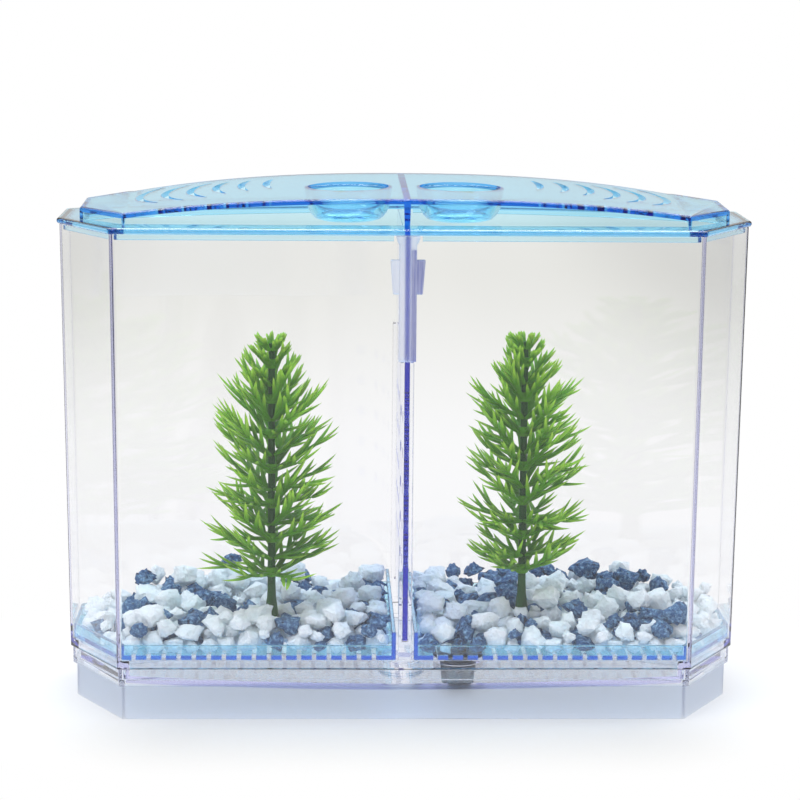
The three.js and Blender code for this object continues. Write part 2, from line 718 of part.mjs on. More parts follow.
const group = new THREE.Group();
group.position.y = -plan.depth / 2;
group.add(part('base_stand', standRing(), clearPlastic));
group.add(part('tank_body', tankBody(), clearPlastic));
group.add(part('drain_plug', drainPlug(), blackRubber));
group.add(part('divider', dividerSolid(), clearPlastic));
group.add(part('lid', lidSolid(), bluePlastic));
group.add(part('tray_left', traySolid(-1), bluePlastic));
group.add(part('tray_right', traySolid(1), bluePlastic));
group.add(part('gravel_left', gravelSolid(-1, plants.left), paleStone));
group.add(part('gravel_right', gravelSolid(1, plants.right), paleStone));
group.add(plantGroup('plant_left', plants.left));
group.add(plantGroup('plant_right', plants.right));

export default group;
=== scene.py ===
"""Dressed model of a two-chamber acrylic fish tank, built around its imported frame.

Lengths inside the builders are millimetres, with x from the middle to the right, y from the
lid's front edge backwards and z up from the table. Finished meshes are in metres.
"""

import math
import random

import bmesh
import bpy
import numpy as np
from mathutils import Matrix, Vector, noise


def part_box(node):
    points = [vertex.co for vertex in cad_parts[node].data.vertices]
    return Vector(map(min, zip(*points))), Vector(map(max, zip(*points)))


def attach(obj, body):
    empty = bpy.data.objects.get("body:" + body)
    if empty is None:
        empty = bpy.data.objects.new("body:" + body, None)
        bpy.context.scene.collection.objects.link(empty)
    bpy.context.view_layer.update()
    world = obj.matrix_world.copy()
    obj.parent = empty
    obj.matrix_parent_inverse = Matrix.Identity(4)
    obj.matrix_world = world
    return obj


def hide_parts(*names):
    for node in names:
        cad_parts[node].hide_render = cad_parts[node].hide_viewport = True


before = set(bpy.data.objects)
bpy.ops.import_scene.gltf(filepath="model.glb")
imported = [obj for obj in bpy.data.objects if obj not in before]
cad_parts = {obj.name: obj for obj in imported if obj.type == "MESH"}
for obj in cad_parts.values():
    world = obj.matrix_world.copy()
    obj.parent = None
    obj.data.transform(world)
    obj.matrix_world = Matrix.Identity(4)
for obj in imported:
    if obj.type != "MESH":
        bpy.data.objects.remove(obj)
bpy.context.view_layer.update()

bl_info = {
    "name": "Two-chamber fish tank",
    "version": (1, 0, 0),
    "blender": (4, 5, 0),
    "location": "View3D > Sidebar > Fish tank",
    "description": "Clear tank on a stand ring with a vented blue lid, divider, gravel trays and plants",
    "category": "Object",
}

MM = 0.001


def node_box(node):
    """Corners of a CAD node in millimetres, with y counted from the lid's front edge."""
    shift = Vector((0, -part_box("lid")[0].y, 0))
    return tuple((corner + shift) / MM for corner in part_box(node))


# Levels and outlines read from the frame
LID_HIGH = node_box("lid")[1]
TANK_HIGH = node_box("tank_body")[1]
STAND_LOW, STAND_HIGH = node_box("base_stand")
TRAY_LOW, TRAY_HIGH = node_box("tray_left")
PANEL_LOW, PANEL_HIGH = node_box("divider")
PLUG_LOW, PLUG_HIGH = node_box("drain_plug")
HALF = LID_HIGH.x
DEPTH = LID_HIGH.y
TANK_TOP = TANK_HIGH.z
TANK_BASE = STAND_HIGH.z
LEDGE_TOP = TANK_BASE + 2.9

# Plans: straight front, chamfered front corners, short sides and a bowed back
PLAN = {
    "front_half": 104.0, "half": HALF, "front": 0.0, "chamfer": 37.0, "side_end": 72.0, "depth": DEPTH,
}
TIER = {
    "front_half": 100.0, "half": HALF - 8.5, "front": 14.0, "chamfer": 34.0, "side_end": 62.0,
    "back_half": HALF - 22.0, "back_corner": 83.0, "depth": DEPTH - 12.0,
}

# Steps of curves, sides of round solids, and the turn in radians that starts to be rounded
ARC_STEPS = 26
CORNER_STEPS = 4
QUARTER_STEPS = 5
FINE_SIDES = 72
PIN_SIDES = 20
LEAST_TURN = 0.25

# Fits and walls
TOP_INSET = 1.0
BASE_INSET = 3.2
WALL = 2.0
SLIDE_GAP = 0.5
SEAT_GAP = 0.3
OVER = 3.0
SKIRT_INSET = 5.4
COLLAR_INSET = STAND_LOW.y
COLLAR_BOTTOM = TANK_BASE - 6.3
PAN_INSET = SKIRT_INSET + WALL + SLIDE_GAP
FLOOR = {"middle": TANK_BASE - 6.3, "sag": 3.4, "half": HALF - 13.0, "thickness": 2.0, "steps": 36}
WELL = {"x": 0.0, "y": 48.0, "radius": 7.3, "wall": 1.5, "depth": 8.2, "base": 1.6, "steps": 6}
DRAIN = {"x": 21.0, "y": 45.0, "radius": 7.2, "boss": 2.0, "drop": 3.2, "rise": 0.9}
PLUG = {"gap": 0.4, "taper": 1.4, "nose": 0.6, "edge": 0.25, "crown": 1.1, "crown_height": 0.95}
PLUG_DISH = ((4.8, 0.0), (4.4, 0.25), (3.9, 1.05), (3.5, 1.2), (0.4, 1.2))
RAIL = {"thickness": 1.2, "slot": 2.5, "reach": 4.2, "top": TANK_TOP - 44.9, "stop": LEDGE_TOP + 7.1}

# Lid
FLANGE_TOP = TANK_TOP + 2.2
ARCH = {"edge": FLANGE_TOP + 3.7, "rise": 5.5, "power": 2.6, "steps": 44, "slope": 0.026}
LID_PEAK = ARCH["edge"] + ARCH["rise"] + ARCH["slope"] * DEPTH + OVER
LID_WALL = 2.2
LID_TOP = 2.0
LIP = {"thickness": 1.8, "drop": 2.2, "notch": 5.0}
LID_RIB = {"top": 1.45, "bottom": 0.9}
LID_EDGES = {"flange": 1.05, "flange_steps": 6, "tier": 1.0, "tier_steps": 5}
FUNNEL = {"x": 20.4, "y": 55.0, "top": 14.4, "bottom": 8.0, "wall": 1.6, "flare": 0.4, "steps": 14}
VENT = {
    "side": 18.5, "pitch": 9.2, "back": 1.0, "arc": 36.0, "length": 47.0, "middle": 2.8, "tip": 0.9,
    "steps": 14,
}
VENT_LENGTH_SHARES = (1, 1, 0.94, 0.78, 0.68, 0.6)

# Divider
HOLES = {"radius": 2.1, "columns": 6, "rows": 5, "side": 14.4, "bottom": 27.0, "top": 66.0}
STILE = {
    "half": 3.05, "depth": 4.6, "head": 4.1, "steps": 10, "drop": 0.2, "cover": 0.2, "joint": 0.05,
    "edge": 0.2,
}
LUG = {"reach": 6.1, "drop": 8.5, "height": 12.0, "taper": 0.9, "depth": 3.2}
PANEL = 1.9
PANEL_EDGE = 0.25

# Trays, and the side of the divider that each tray and plant stands on
SIDES = {"left": -1, "right": 1}
TRAY = {"wall": 1.5, "floor": 1.4, "height": 5.2, "face": 3.2}
SLOT = {"width": 1.6, "pitch": 5.35, "first": 11.0, "rows": 2, "bar": 4.0, "rise": 2.2, "margin": 1.2}
TRAY_FLOOR = TRAY_LOW.z + TRAY["floor"]

# Gravel: what a stone keeps from the floor, the walls and its neighbours is a share of its radius
STONE = {
    "corners": 20, "least": 0.8, "most": 1.1, "cuts": 3, "grain": 4.5, "swell": 1.12, "shift": (7.3, 3.1),
    "shapes": 9,
}
STONE_SURFACE = {
    "white": {"cells": 2.6, "relief": 0.30, "pits": 0.10},
    "blue": {"cells": 2.8, "relief": 0.30, "pits": 0.26},
}
STONE_FORM = {"tilt": 0.5, "width": (0.98, 1.22), "depth": (0.86, 1.0), "height": (0.74, 0.92), "scale": 1.06}
SETTLING = {
    "rounds": 170, "drop": 18, "sink": 0.14, "flatten": 1.25, "touch": 0.9, "push": 0.5, "ease": 0.8,
    "floor": 0.72, "wall": 0.95, "stem": 3.2, "far": 1000.0,
}
LOW_END = {"start": 99.0, "level": 29.5}
PATCH = {"size": 16.0, "strength": 0.5, "more_on_right": 0.08}
SEEDS = {"left": {"gravel": 5, "leaves": 40}, "right": {"gravel": 8, "leaves": 60}}

# Plants: a frond is a rib with tines along it and a fork at its end
CROWN = {"top": 7.0, "taper": 0.9, "swell": 1.12, "parting": 0.5, "shortest": 2.5, "vary": (0.82, 1.05)}
HUB = {
    "heights": (0.0, 0.4, 3.0, 3.4, 3.6), "radii": (1.9, 2.3, 2.2, 1.9), "tips": (0.0, 0.0, 0.0, 0.0, 0.0),
    "sides": 14, "flat": 1.0, "surface": 1.5,
}
WHORL = {
    "count": 2, "first": 1.2, "pitch": 5.6, "stagger": 0.5, "twist": 0.37, "stray": (-0.14, 0.14),
    "slope": 0.22, "rise": 0.9, "power": 1.6, "droop": (-0.25, 0.4),
}
RIB = {
    "length": 0.62, "lift": (-0.1, 0.3), "steps": 6, "sides": 6, "flat": 0.6,
    "radii": (1.2, 1.3, 1.25, 1.15, 1.0, 0.85), "tips": (0.0, 0.0, 0.05, 0.1, 0.15, 0.2, 0.3),
}
TINE = {
    "count": 5, "first": 0.16, "pitch": 0.16, "spread": (0.3, 0.95), "rise": (-0.45, 0.75), "shortest": 4.5,
    "length": (0.36, 0.55), "lift": (0.0, 0.5), "steps": 5, "sides": 5, "flat": 0.7,
    "radii": (0.95, 0.92, 0.82, 0.66, 0.42), "tips": (0.1, 0.2, 0.4, 0.6, 0.85, 1.0),
}
FORK = {
    "turns": (-0.5, 0.0, 0.5), "stray": (-0.12, 0.12), "rise": (-0.3, 0.4), "overlap": 0.4, "shortest": 3.5,
    "length": (0.34, 0.5), "lift": 0.3, "steps": 5, "sides": 5, "flat": 0.7,
    "radii": (0.85, 0.84, 0.74, 0.6, 0.4), "tips": (0.25, 0.35, 0.5, 0.7, 0.88, 1.0),
}
STEM_FOOT = ((0.86, 0.0), (1.0, 0.8), (0.97, 6.5), (0.8, 11.0), (0.6, 15.0))
STEM_STALK = ((1.45, 20.0), (1.3, 60.0))
STEM_TOP = ((1.15, 1.2), (0.9, 0.4))
STEM_SIDES = 20

# A stalk counts as upright while less than this part of its direction is sideways
UPRIGHT = 1e-4

# Colour of the lamps' light behind each plastic
FILMS = {
    "clear": (0.98, 0.985, 1.0), "satin": (0.93, 0.95, 0.98), "indigo": (0.93, 0.93, 0.97),
    "blue": (0.78, 0.91, 0.99),
}

# Second tones of the finishes. The stand skirt's grey-blue, the deeper blue of level faces and the
# stile's indigo are painted shade; the stile's lilac gives its painted streaks of highlight and shade
TONES = {
    "painted_skirt_shade": (0.73, 0.79, 0.87), "streak_shade_lilac": (0.80, 0.82, 0.94), "indigo": (0.13, 0.14, 0.44),
    "painted_level_shade": (0.50, 0.90, 1.0), "rubber": (0.045, 0.05, 0.065), "white_stone": (0.77, 0.89, 0.96),
    "blue_grain": (0.30, 0.52, 0.74), "blue_pit": (0.018, 0.035, 0.085), "stem": (0.02, 0.11, 0.018),
}
WHITE = (1.0, 1.0, 1.0)
BLACK = (0.0, 0.0, 0.0)

# Darker shade of the leaves as a share of their colour, the wear of every transparent plastic, and
# where the divider's stile has painted indigo shade and painted streaks of highlight and shade
LEAF_SHADE = 0.62
POLISH = {"wear_zone": (0.02, 0.12), "haze": 0.02, "relief": 0.05, "depth": 0.0006}
STILE_PAINTED_SHADE = {
    "neck": 1.0, "shaded_right_zone": (0.9 * MM, 1.5 * MM), "streak_zone": (0.3, 0.7), "streak_share": 0.5,
}

# Stage, in metres from the object's middle. A zone is where a change of tone starts and ends: it is
# in footprints of the object for the open floor, and in parts of a direction for the studio.
FLOOR_PLATE = {"radius": 4.0, "sides": 96}
OPEN_FLOOR = {"zone": (0.95, 2.2), "least": 0.58}
BACKDROP = {
    "starts": (0.12, 1.4), "ends": (1.55, 2.1), "depth": 0.18, "lift": 0.04, "lean": 0.06,
    "side_zone": (0.15, 0.3), "side_depth": 0.14, "warm": (1.0, 1.0, 0.94),
}
MIRRORED_FLOOR = {"front_zone": (-0.30, -0.12), "end_zone": (0.3, 1.2), "depth": 0.6}
# Painted shadow in the floor's glow for the camera, around the object's foot: core is the share of the half
# width that it spans, zone the distance over which it fades out, and tone its colour
PAINTED_SHADOW = {"core": 0.6, "zone": (-0.01, 0.065), "tone": (0.64, 0.65, 0.66)}
STUDIO = {
    "fill_zone": (-0.1, 0.9), "fill": (0.5, 0.75), "back_zone": (-0.5, 0.5), "back": (0.65, 1.0),
    "wall_zone": (-0.5, 0.3), "wall_ends": (0.5, 0.9), "wall_fade": 0.6, "wall": 0.55, "front": 0.2,
    "softbox_zone": (0.5, 0.7), "softbox": 4.0,
}
LAMPS = {
    "overhead_lamp": {"place": (-0.03, 0.05, 1.1), "width": 1.6, "depth": 0.35, "share": 1.0},
    "left_lamp": {"place": (-1.1, -0.7, 0.9), "width": 0.5, "depth": 0.5, "share": 0.55},
    "right_lamp": {"place": (1.2, -0.3, 0.6), "width": 0.5, "depth": 0.5, "share": 0.25},
}
LAMP_AIM = (0.0, 0.0, 0.09)
CAMERA = {
    "place": (-0.03081, -0.98614, 0.27241), "yaw": 0.03033, "pitch": 0.16561, "roll": 0.00798,
    "sensor": 36.0, "lens": 121.536,
}
BOUNCES = {"max": 64, "transmission": 64, "glossy": 32, "transparent_max": 32}


# Sizes and colours that a user may change
class TankSettings(bpy.types.PropertyGroup):
    edge: bpy.props.FloatProperty(
        name="Edge radius", description="Rounding of the moulded edges, in millimetres",
        default=0.35, min=0.05)
    clear_tint: bpy.props.FloatVectorProperty(
        name="Clear tint", description="What a long path through the clear plastic lets through",
        subtype="COLOR", default=(0.60, 0.61, 0.88))
    clear_depth: bpy.props.FloatProperty(
        name="Clear depth", description="Path through the clear plastic that gives its tint",
        subtype="DISTANCE", default=0.075)
    divider_tint: bpy.props.FloatVectorProperty(
        name="Divider tint", description="What a long path through the divider lets through",
        subtype="COLOR", default=(0.03, 0.055, 0.62))
    divider_depth: bpy.props.FloatProperty(
        name="Divider depth", description="Path through the divider that gives its tint",
        subtype="DISTANCE", default=0.065)
    satin: bpy.props.FloatProperty(
        name="Satin", description="Roughness of the stand ring", subtype="FACTOR", default=0.3)
    rubber: bpy.props.FloatVectorProperty(
        name="Rubber", description="Colour of the drain plug", subtype="COLOR", default=(0.018, 0.021, 0.035))


class LidSettings(bpy.types.PropertyGroup):
    blue_tint: bpy.props.FloatVectorProperty(
        name="Blue tint", description="What a short path through the blue plastic lets through",
        subtype="COLOR", default=(0.71, 0.865, 0.975))
    blue_skin: bpy.props.FloatVectorProperty(
        name="Blue skin", description="What the surface of the blue plastic lets through",
        subtype="COLOR", default=(0.72, 0.95, 1.0))
    blue_depth: bpy.props.FloatProperty(
        name="Blue depth", description="Path through the blue plastic that gives its tint",
        subtype="DISTANCE", default=0.007)


class GravelSettings(bpy.types.PropertyGroup):
    count: bpy.props.IntProperty(
        name="Stones", description="Stones in each tray", default=430, min=20)
    smallest: bpy.props.FloatProperty(
        name="Smallest", description="Radius of the smallest stone, in millimetres", default=2.6)
    largest: bpy.props.FloatProperty(
        name="Largest", description="Radius of the largest stone, in millimetres", default=5.8)
    blue_share: bpy.props.FloatProperty(
        name="Blue share", description="Share of blue-grey stones", subtype="FACTOR", default=0.27)
    white: bpy.props.FloatVectorProperty(
        name="White stone", description="Colour of the white stones",
        subtype="COLOR", default=(0.88, 0.96, 1.0))
    blue: bpy.props.FloatVectorProperty(
        name="Blue stone", description="Colour of the blue-grey stones",
        subtype="COLOR", default=(0.03, 0.11, 0.27))


class PlantSettings(bpy.types.PropertyGroup):
    branches: bpy.props.IntProperty(
        name="Branches", description="Branches in each whorl", default=6, min=3)
    leaf: bpy.props.FloatVectorProperty(
        name="Leaf", description="Colour of the leaves", subtype="COLOR", default=(0.115, 0.38, 0.012))
    tip: bpy.props.FloatVectorProperty(
        name="Leaf tip", description="Colour of the leaf tips", subtype="COLOR", default=(0.36, 0.61, 0.06))
    stem: bpy.props.FloatVectorProperty(
        name="Stem", description="Colour of the stem", subtype="COLOR", default=(0.008, 0.06, 0.008))


class StageSettings(bpy.types.PropertyGroup):
    floor: bpy.props.FloatVectorProperty(
        name="Floor", description="Colour of the floor", subtype="COLOR", default=(0.93, 0.93, 0.93))
    lamp: bpy.props.FloatProperty(
        name="Lamp", description="Power of the main soft lamp", subtype="POWER", default=9.0)


# Shader maths
class Value:
    """A shader socket that adds Math nodes when it is used in an expression."""

    def __init__(self, tree, socket):
        self.tree = tree
        self.socket = socket

    def maths(self, operation, *inputs):
        node = self.tree.add("ShaderNodeMath", {"operation": operation}, dict(enumerate(inputs)))
        return Value(self.tree, node.outputs[0])

    def __add__(self, other):
        return self.maths("ADD", self, other)

    def __sub__(self, other):
        return self.maths("SUBTRACT", self, other)

    def __mul__(self, other):
        return self.maths("MULTIPLY", self, other)

    def __rsub__(self, other):
        return self.maths("SUBTRACT", other, self)

    def __pow__(self, other):
        return self.maths("POWER", self, other)

    def larger(self, other):
        return self.maths("MAXIMUM", self, other)

    def size(self):
        """The value without its sign."""
        return self.maths("ABSOLUTE", self)

    def between(self, low, high):
        """low where the value is 0 and high where it is 1."""
        return self * (high - low) + low

    def step(self, low, high):
        """0 below low, 1 above high and smooth between them."""
        return self.tree.output("ShaderNodeMapRange", "Result", {"interpolation_type": "SMOOTHSTEP"}, {
            "Value": self, "From Min": low, "From Max": high})

    __radd__ = __add__
    __rmul__ = __mul__


class Tree:
    """The nodes of one material or of the world."""

    def __init__(self, owner):
        owner.use_nodes = True
        self.nodes = owner.node_tree.nodes
        self.links = owner.node_tree.links
        self.nodes.clear()

    def add(self, kind, settings=None, inputs=None):
        """One node of a type, with its settings set first and then its inputs' values or links."""
        node = self.nodes.new(kind)
        for name, value in (settings or {}).items():
            setattr(node, name, value)
        for name, value in (inputs or {}).items():
            if isinstance(value, Value):
                self.links.new(value.socket, node.inputs[name])
            elif isinstance(value, bpy.types.NodeSocket):
                self.links.new(value, node.inputs[name])
            else:
                node.inputs[name].default_value = value
        return node

    def output(self, kind, name, settings=None, inputs=None):
        """One output of a new node, as a value."""
        return Value(self, self.add(kind, settings, inputs).outputs[name])

    def place(self):
        """The point on the surface, in the frame's own metres."""
        return self.output("ShaderNodeTexCoord", "Object")

    def noise(self, scale, detail=3.0, roughness=0.5):
        """Smooth noise, with the scale in waves per metre."""
        return self.output("ShaderNodeTexNoise", "Fac", None, {
            "Vector": self.place(), "Scale": scale, "Detail": detail, "Roughness": roughness})

    def axes(self, vector=None):
        """The three parts of a vector, or of the point on the surface."""
        parts = self.add("ShaderNodeSeparateXYZ", None, {0: vector or self.place()})
        return tuple(Value(self, output) for output in parts.outputs)

    def below(self, height, fade=0.6):
        """1 under a height in millimetres and 0 where it is more than the fade higher."""
        return 1 - self.axes()[2].step(height * MM, (height + fade) * MM)

    def level(self):
        """1 on level faces and 0 on upright ones."""
        up = self.axes(self.output("ShaderNodeNewGeometry", "Normal"))[2]
        return (up * up).step(0.5, 0.9)

    def streaks(self, scale, stretch=25.0):
        """Noise that is drawn out upwards."""
        across, back, up = self.axes()
        place = self.add("ShaderNodeCombineXYZ", None, {0: across, 1: back, 2: up * (1 / stretch)})
        return self.output("ShaderNodeTexNoise", "Fac", None, {"Vector": place.outputs[0], "Scale": scale})

    def cells(self, scale):
        """Distance to the nearest point of a scatter of cells."""
        return self.output("ShaderNodeTexVoronoi", "Distance", None, {"Vector": self.place(), "Scale": scale})

    def blend(self, share, first, second):
        """A colour between two colours."""
        node = self.add("ShaderNodeMix", {"data_type": "RGBA"}, {0: share, 6: first, 7: second})
        return Value(self, node.outputs[2])

    def bump(self, height, strength, distance):
        """Relief of a strength, with the distance in metres."""
        return self.output("ShaderNodeBump", "Normal", None, {
            "Height": height, "Strength": strength, "Distance": distance})


def colour(values):
    return (*values, 1.0)


def clear_for(tree, kind, shader, tint):
    """Lets one kind of ray straight through a shader, so that lamps reach what stands inside."""
    ray = tree.output("ShaderNodeLightPath", kind)
    open_side = tree.add("ShaderNodeBsdfTransparent", None, {"Color": colour(tint)})
    mix = tree.add("ShaderNodeMixShader", None, {0: ray, 1: shader, 2: open_side.outputs[0]})
    return mix.outputs[0]


def transparent_plastic(name, tint, depth, film, scratch, skin=WHITE, satin=0.0, satin_and_painted_shade=None):
    """Polished transparent plastic whose colour deepens with the path through it.

    film is the colour of the lamps' light behind it, and scratch the roughness of its fine scratches.
    satin_and_painted_shade gives a mask and the colour under it: painted shade, and on the stile also
    painted streaks of highlight and shade. satin adds its roughness over the mask.
    """
    material = bpy.data.materials.new(name)
    tree = Tree(material)
    flow = tree.noise(18.0, detail=2.0)
    haze = tree.noise(140.0, detail=4.0, roughness=0.6) * POLISH["haze"]
    wear = tree.cells(900.0).step(*POLISH["wear_zone"])
    base, roughness = colour(skin), haze + (1 - wear) * scratch
    if satin_and_painted_shade:
        mask, tone = satin_and_painted_shade(tree)
        base, roughness = tree.blend(mask, base, tone), roughness + mask * satin
    surface = tree.add("ShaderNodeBsdfPrincipled", None, {
        "Base Color": base,
        "Roughness": roughness,
        "IOR": 1.49,
        "Transmission Weight": 1.0,
        "Normal": tree.bump(flow + haze, POLISH["relief"], POLISH["depth"]),
    })
    shader = clear_for(tree, "Is Shadow Ray", surface.outputs[0], film)
    shader = clear_for(tree, "Is Diffuse Ray", shader, film)
    strength = tuple(-math.log(max(share, 1e-3)) / depth for share in tint)
    density = max(strength)
    absorbed = tuple(1 - value / density for value in strength)
    volume = tree.add("ShaderNodeVolumeAbsorption", None, {"Color": colour(absorbed), "Density": density})
    tree.add("ShaderNodeOutputMaterial", None, {"Surface": shader, "Volume": volume.outputs[0]})
    return material


def opaque(name, base, roughness, normal, constants=None):
    """Opaque material from functions of its tree that give colour, roughness and normal."""
    material = bpy.data.materials.new(name)
    tree = Tree(material)
    surface = tree.add("ShaderNodeBsdfPrincipled", None, {
        "Base Color": base(tree), "Roughness": roughness(tree), "Normal": normal(tree), **(constants or {})})
    tree.add("ShaderNodeOutputMaterial", None, {"Surface": surface.outputs[0]})
    return material


def clear_material(name):
    settings = bpy.context.scene.tank
    return transparent_plastic(name, settings.clear_tint, settings.clear_depth, FILMS["clear"], 0.03)


def satin_material(name):
    """Clear plastic with a satin finish under the stand's collar, where a grey-blue colour is painted shade.
    """
    settings = bpy.context.scene.tank
    return transparent_plastic(
        name, settings.clear_tint, settings.clear_depth, FILMS["satin"], 0.03, satin=settings.satin,
        satin_and_painted_shade=lambda tree: (tree.below(COLLAR_BOTTOM), colour(TONES["painted_skirt_shade"])))


def indigo_material(name):
    settings = bpy.context.scene.tank
    return transparent_plastic(
        name, settings.divider_tint, settings.divider_depth, FILMS["indigo"], 0.04)


def stile_material(name):
    """Pale satin plastic with painted light and shade streaks, and painted indigo shade on its right below
    the head.
    """
    settings = bpy.context.scene.tank
    neck = PANEL_HIGH.z - STILE["head"] - STILE_PAINTED_SHADE["neck"]

    def painted_shade_and_streaks(tree):
        # Painted indigo shade on the right side under the head, and painted streaks of highlight and shade
        right = tree.axes()[0].step(*STILE_PAINTED_SHADE["shaded_right_zone"]) * tree.below(neck)
        streaks = tree.streaks(1500.0).step(*STILE_PAINTED_SHADE["streak_zone"]) * STILE_PAINTED_SHADE["streak_share"]
        pale = tree.blend(streaks, colour(WHITE), colour(TONES["streak_shade_lilac"]))
        return 1.0, tree.blend(right * (1 - streaks), pale, colour(TONES["indigo"]))

    return transparent_plastic(
        name, settings.clear_tint, settings.clear_depth, FILMS["indigo"], 0.04, satin=0.5,
        satin_and_painted_shade=painted_shade_and_streaks)


def blue_material(name):
    """Blue plastic with painted shade: a deeper blue on its level faces, such as the lid's top."""
    settings = bpy.context.scene.lid
    return transparent_plastic(
        name, settings.blue_tint, settings.blue_depth, FILMS["blue"], 0.03, skin=settings.blue_skin,
        satin_and_painted_shade=lambda tree: (tree.level(), colour(TONES["painted_level_shade"])))


def rubber_material(name):
    tone = colour(bpy.context.scene.tank.rubber)
    return opaque(
        name,
        lambda tree: tree.blend(tree.noise(300.0), tone, colour(TONES["rubber"])),
        lambda tree: tree.noise(90.0).between(0.55, 0.75),
        lambda tree: tree.bump(tree.noise(2500.0), strength=0.3, distance=0.0001))


def white_stone_material(name):
    tone = colour(bpy.context.scene.gravel.white)
    return opaque(
        name,
        lambda tree: tree.blend(
            tree.noise(60.0, detail=4.0).step(0.35, 0.75), tone, colour(TONES["white_stone"])),
        lambda tree: tree.noise(200.0).between(0.55, 0.8),
        lambda tree: tree.bump(
            tree.noise(420.0, detail=6.0, roughness=0.65) + tree.cells(480.0) * 0.8,
            strength=1.0, distance=0.0014),
        {"Subsurface Weight": 0.7, "Subsurface Scale": 0.004, "Subsurface Radius": (1.0, 1.0, 1.0)})


def blue_stone_material(name):
    tone = colour(bpy.context.scene.gravel.blue)

    def mottled(tree):
        grain = tree.noise(700.0, detail=5.0, roughness=0.7).step(0.45, 0.68)
        pale = tree.blend(grain, tone, colour(TONES["blue_grain"]))
        pits = tree.noise(420.0, detail=4.0).step(0.55, 0.68)
        return tree.blend(pits, pale, colour(TONES["blue_pit"]))

    return opaque(
        name, mottled,
        lambda tree: tree.noise(400.0).between(0.6, 0.85),
        lambda tree: tree.bump(
            tree.noise(1000.0, detail=6.0, roughness=0.7), strength=1.0, distance=0.0011))


def leaf_material(name):
    """Green that is mottled between two shades and turns paler towards the tips."""
    settings = bpy.context.scene.plants

    def tone(tree):
        along = tree.output("ShaderNodeAttribute", "Fac", {"attribute_name": "tip"})
        shaded = tuple(LEAF_SHADE * part for part in settings.leaf)
        green = tree.blend(tree.noise(120.0), colour(settings.leaf), colour(shaded))
        return tree.blend(along.step(0.15, 1.0), green, colour(settings.tip))

    return opaque(
        name, tone,
        lambda tree: tree.noise(300.0).between(0.36, 0.51),
        lambda tree: tree.bump(tree.noise(1500.0), strength=0.25, distance=0.0002),
        {"Subsurface Weight": 0.3, "Subsurface Scale": 0.002, "Subsurface Radius": (0.5, 1.0, 0.2),
         "Specular IOR Level": 0.2})


def stem_material(name):
    tone = colour(bpy.context.scene.plants.stem)
    return opaque(
        name,
        lambda tree: tree.blend(tree.noise(150.0), tone, colour(TONES["stem"])),
        lambda tree: tree.noise(300.0).between(0.38, 0.53),
        lambda tree: tree.bump(tree.noise(900.0), strength=0.3, distance=0.0002),
        {"Specular IOR Level": 0.25})


FINISHES = {
    "clear_plastic": clear_material,
    "satin_plastic": satin_material,
    "indigo_plastic": indigo_material,
    "stile_plastic": stile_material,
    "blue_plastic": blue_material,
    "matt_rubber": rubber_material,
    "white_stone": white_stone_material,
    "blue_stone": blue_stone_material,
    "green_leaf": leaf_material,
    "green_stem": stem_material,
}


def material_for(finish):
    """The material of a finish, made for the first piece that has it."""
    return bpy.data.materials.get(finish) or FINISHES[finish](finish)


# Outlines
def line_offset(start, end, inset):
    """A line moved to its left, as a point and a direction."""
    length = math.dist(start, end)
    along = ((end[0] - start[0]) / length, (end[1] - start[1]) / length)
    return (start[0] - along[1] * inset, start[1] + along[0] * inset), along


def crossing(first, second):
    """Where two lines cross."""
    (a, da), (b, db) = first, second
    det = da[0] * db[1] - da[1] * db[0]
    along = ((b[0] - a[0]) * db[1] - (b[1] - a[1]) * db[0]) / det
    return a[0] + along * da[0], a[1] + along * da[1]


def circle_crossing(line, centre, radius):
    """Where a line leaves a circle whose centre is on the Y axis."""
    (x, y), along = line
    y -= centre
    toward = x * along[0] + y * along[1]
    reach = -toward + math.sqrt(toward * toward - (x * x + y * y - radius * radius))
    return x + reach * along[0], y + reach * along[1] + centre


def rounded(points, radius):
    """Closed outline with its sharper corners turned into arcs."""
    result = []
    for i, point in enumerate(points):
        before, here, after = Vector(points[i - 1]), Vector(point), Vector(points[(i + 1) % len(points)])
        entering, leaving = (here - before).normalized(), (after - here).normalized()
        turn = entering.angle(leaving)
        if turn < LEAST_TURN:
            result.append(tuple(here))
            continue
        cut = radius * math.tan(turn / 2)
        start, end = here - entering * cut, here + leaving * cut
        for step in range(CORNER_STEPS + 1):
            share = step / CORNER_STEPS
            curve = start * (1 - share) ** 2 + here * (2 * share * (1 - share)) + end * share ** 2
            result.append(tuple(curve))
    return result


def outline(plan, inset, corner=1.2):
    """Outline of a plan moved inwards, counter-clockwise from the front right corner."""
    corners = [(0.0, plan["front"]), (plan["front_half"], plan["front"]), (plan["half"], plan["chamfer"]),
               (plan["half"], plan["side_end"])]
    if "back_half" in plan:
        corners.append((plan["back_half"], plan["back_corner"]))
    bow = plan["depth"] - corners[-1][1]
    radius = (corners[-1][0] ** 2 + bow ** 2) / (2 * bow)
    centre = plan["depth"] - radius
    lines = [line_offset(a, b, inset) for a, b in zip(corners, corners[1:])]
    right = [crossing(a, b) for a, b in zip(lines, lines[1:])]
    arc = circle_crossing(lines[-1], centre, radius - inset)
    start = math.atan2(arc[0], arc[1] - centre)
    for step in range(ARC_STEPS):
        angle = start * (1 - step / ARC_STEPS)
        right.append((math.sin(angle) * (radius - inset), centre + math.cos(angle) * (radius - inset)))
    left = [(-x, y) for x, y in reversed(right)]
    return rounded([*right, (0.0, centre + radius - inset), *left], corner)


def wall_inset(z):
    """Inset of the drafted outer wall at a height."""
    return BASE_INSET + (TOP_INSET - BASE_INSET) * (z - TANK_BASE) / (TANK_TOP - TANK_BASE)


def floor_height(x):
    return FLOOR["middle"] + FLOOR["sag"] * min(1.0, abs(x) / FLOOR["half"]) ** 2


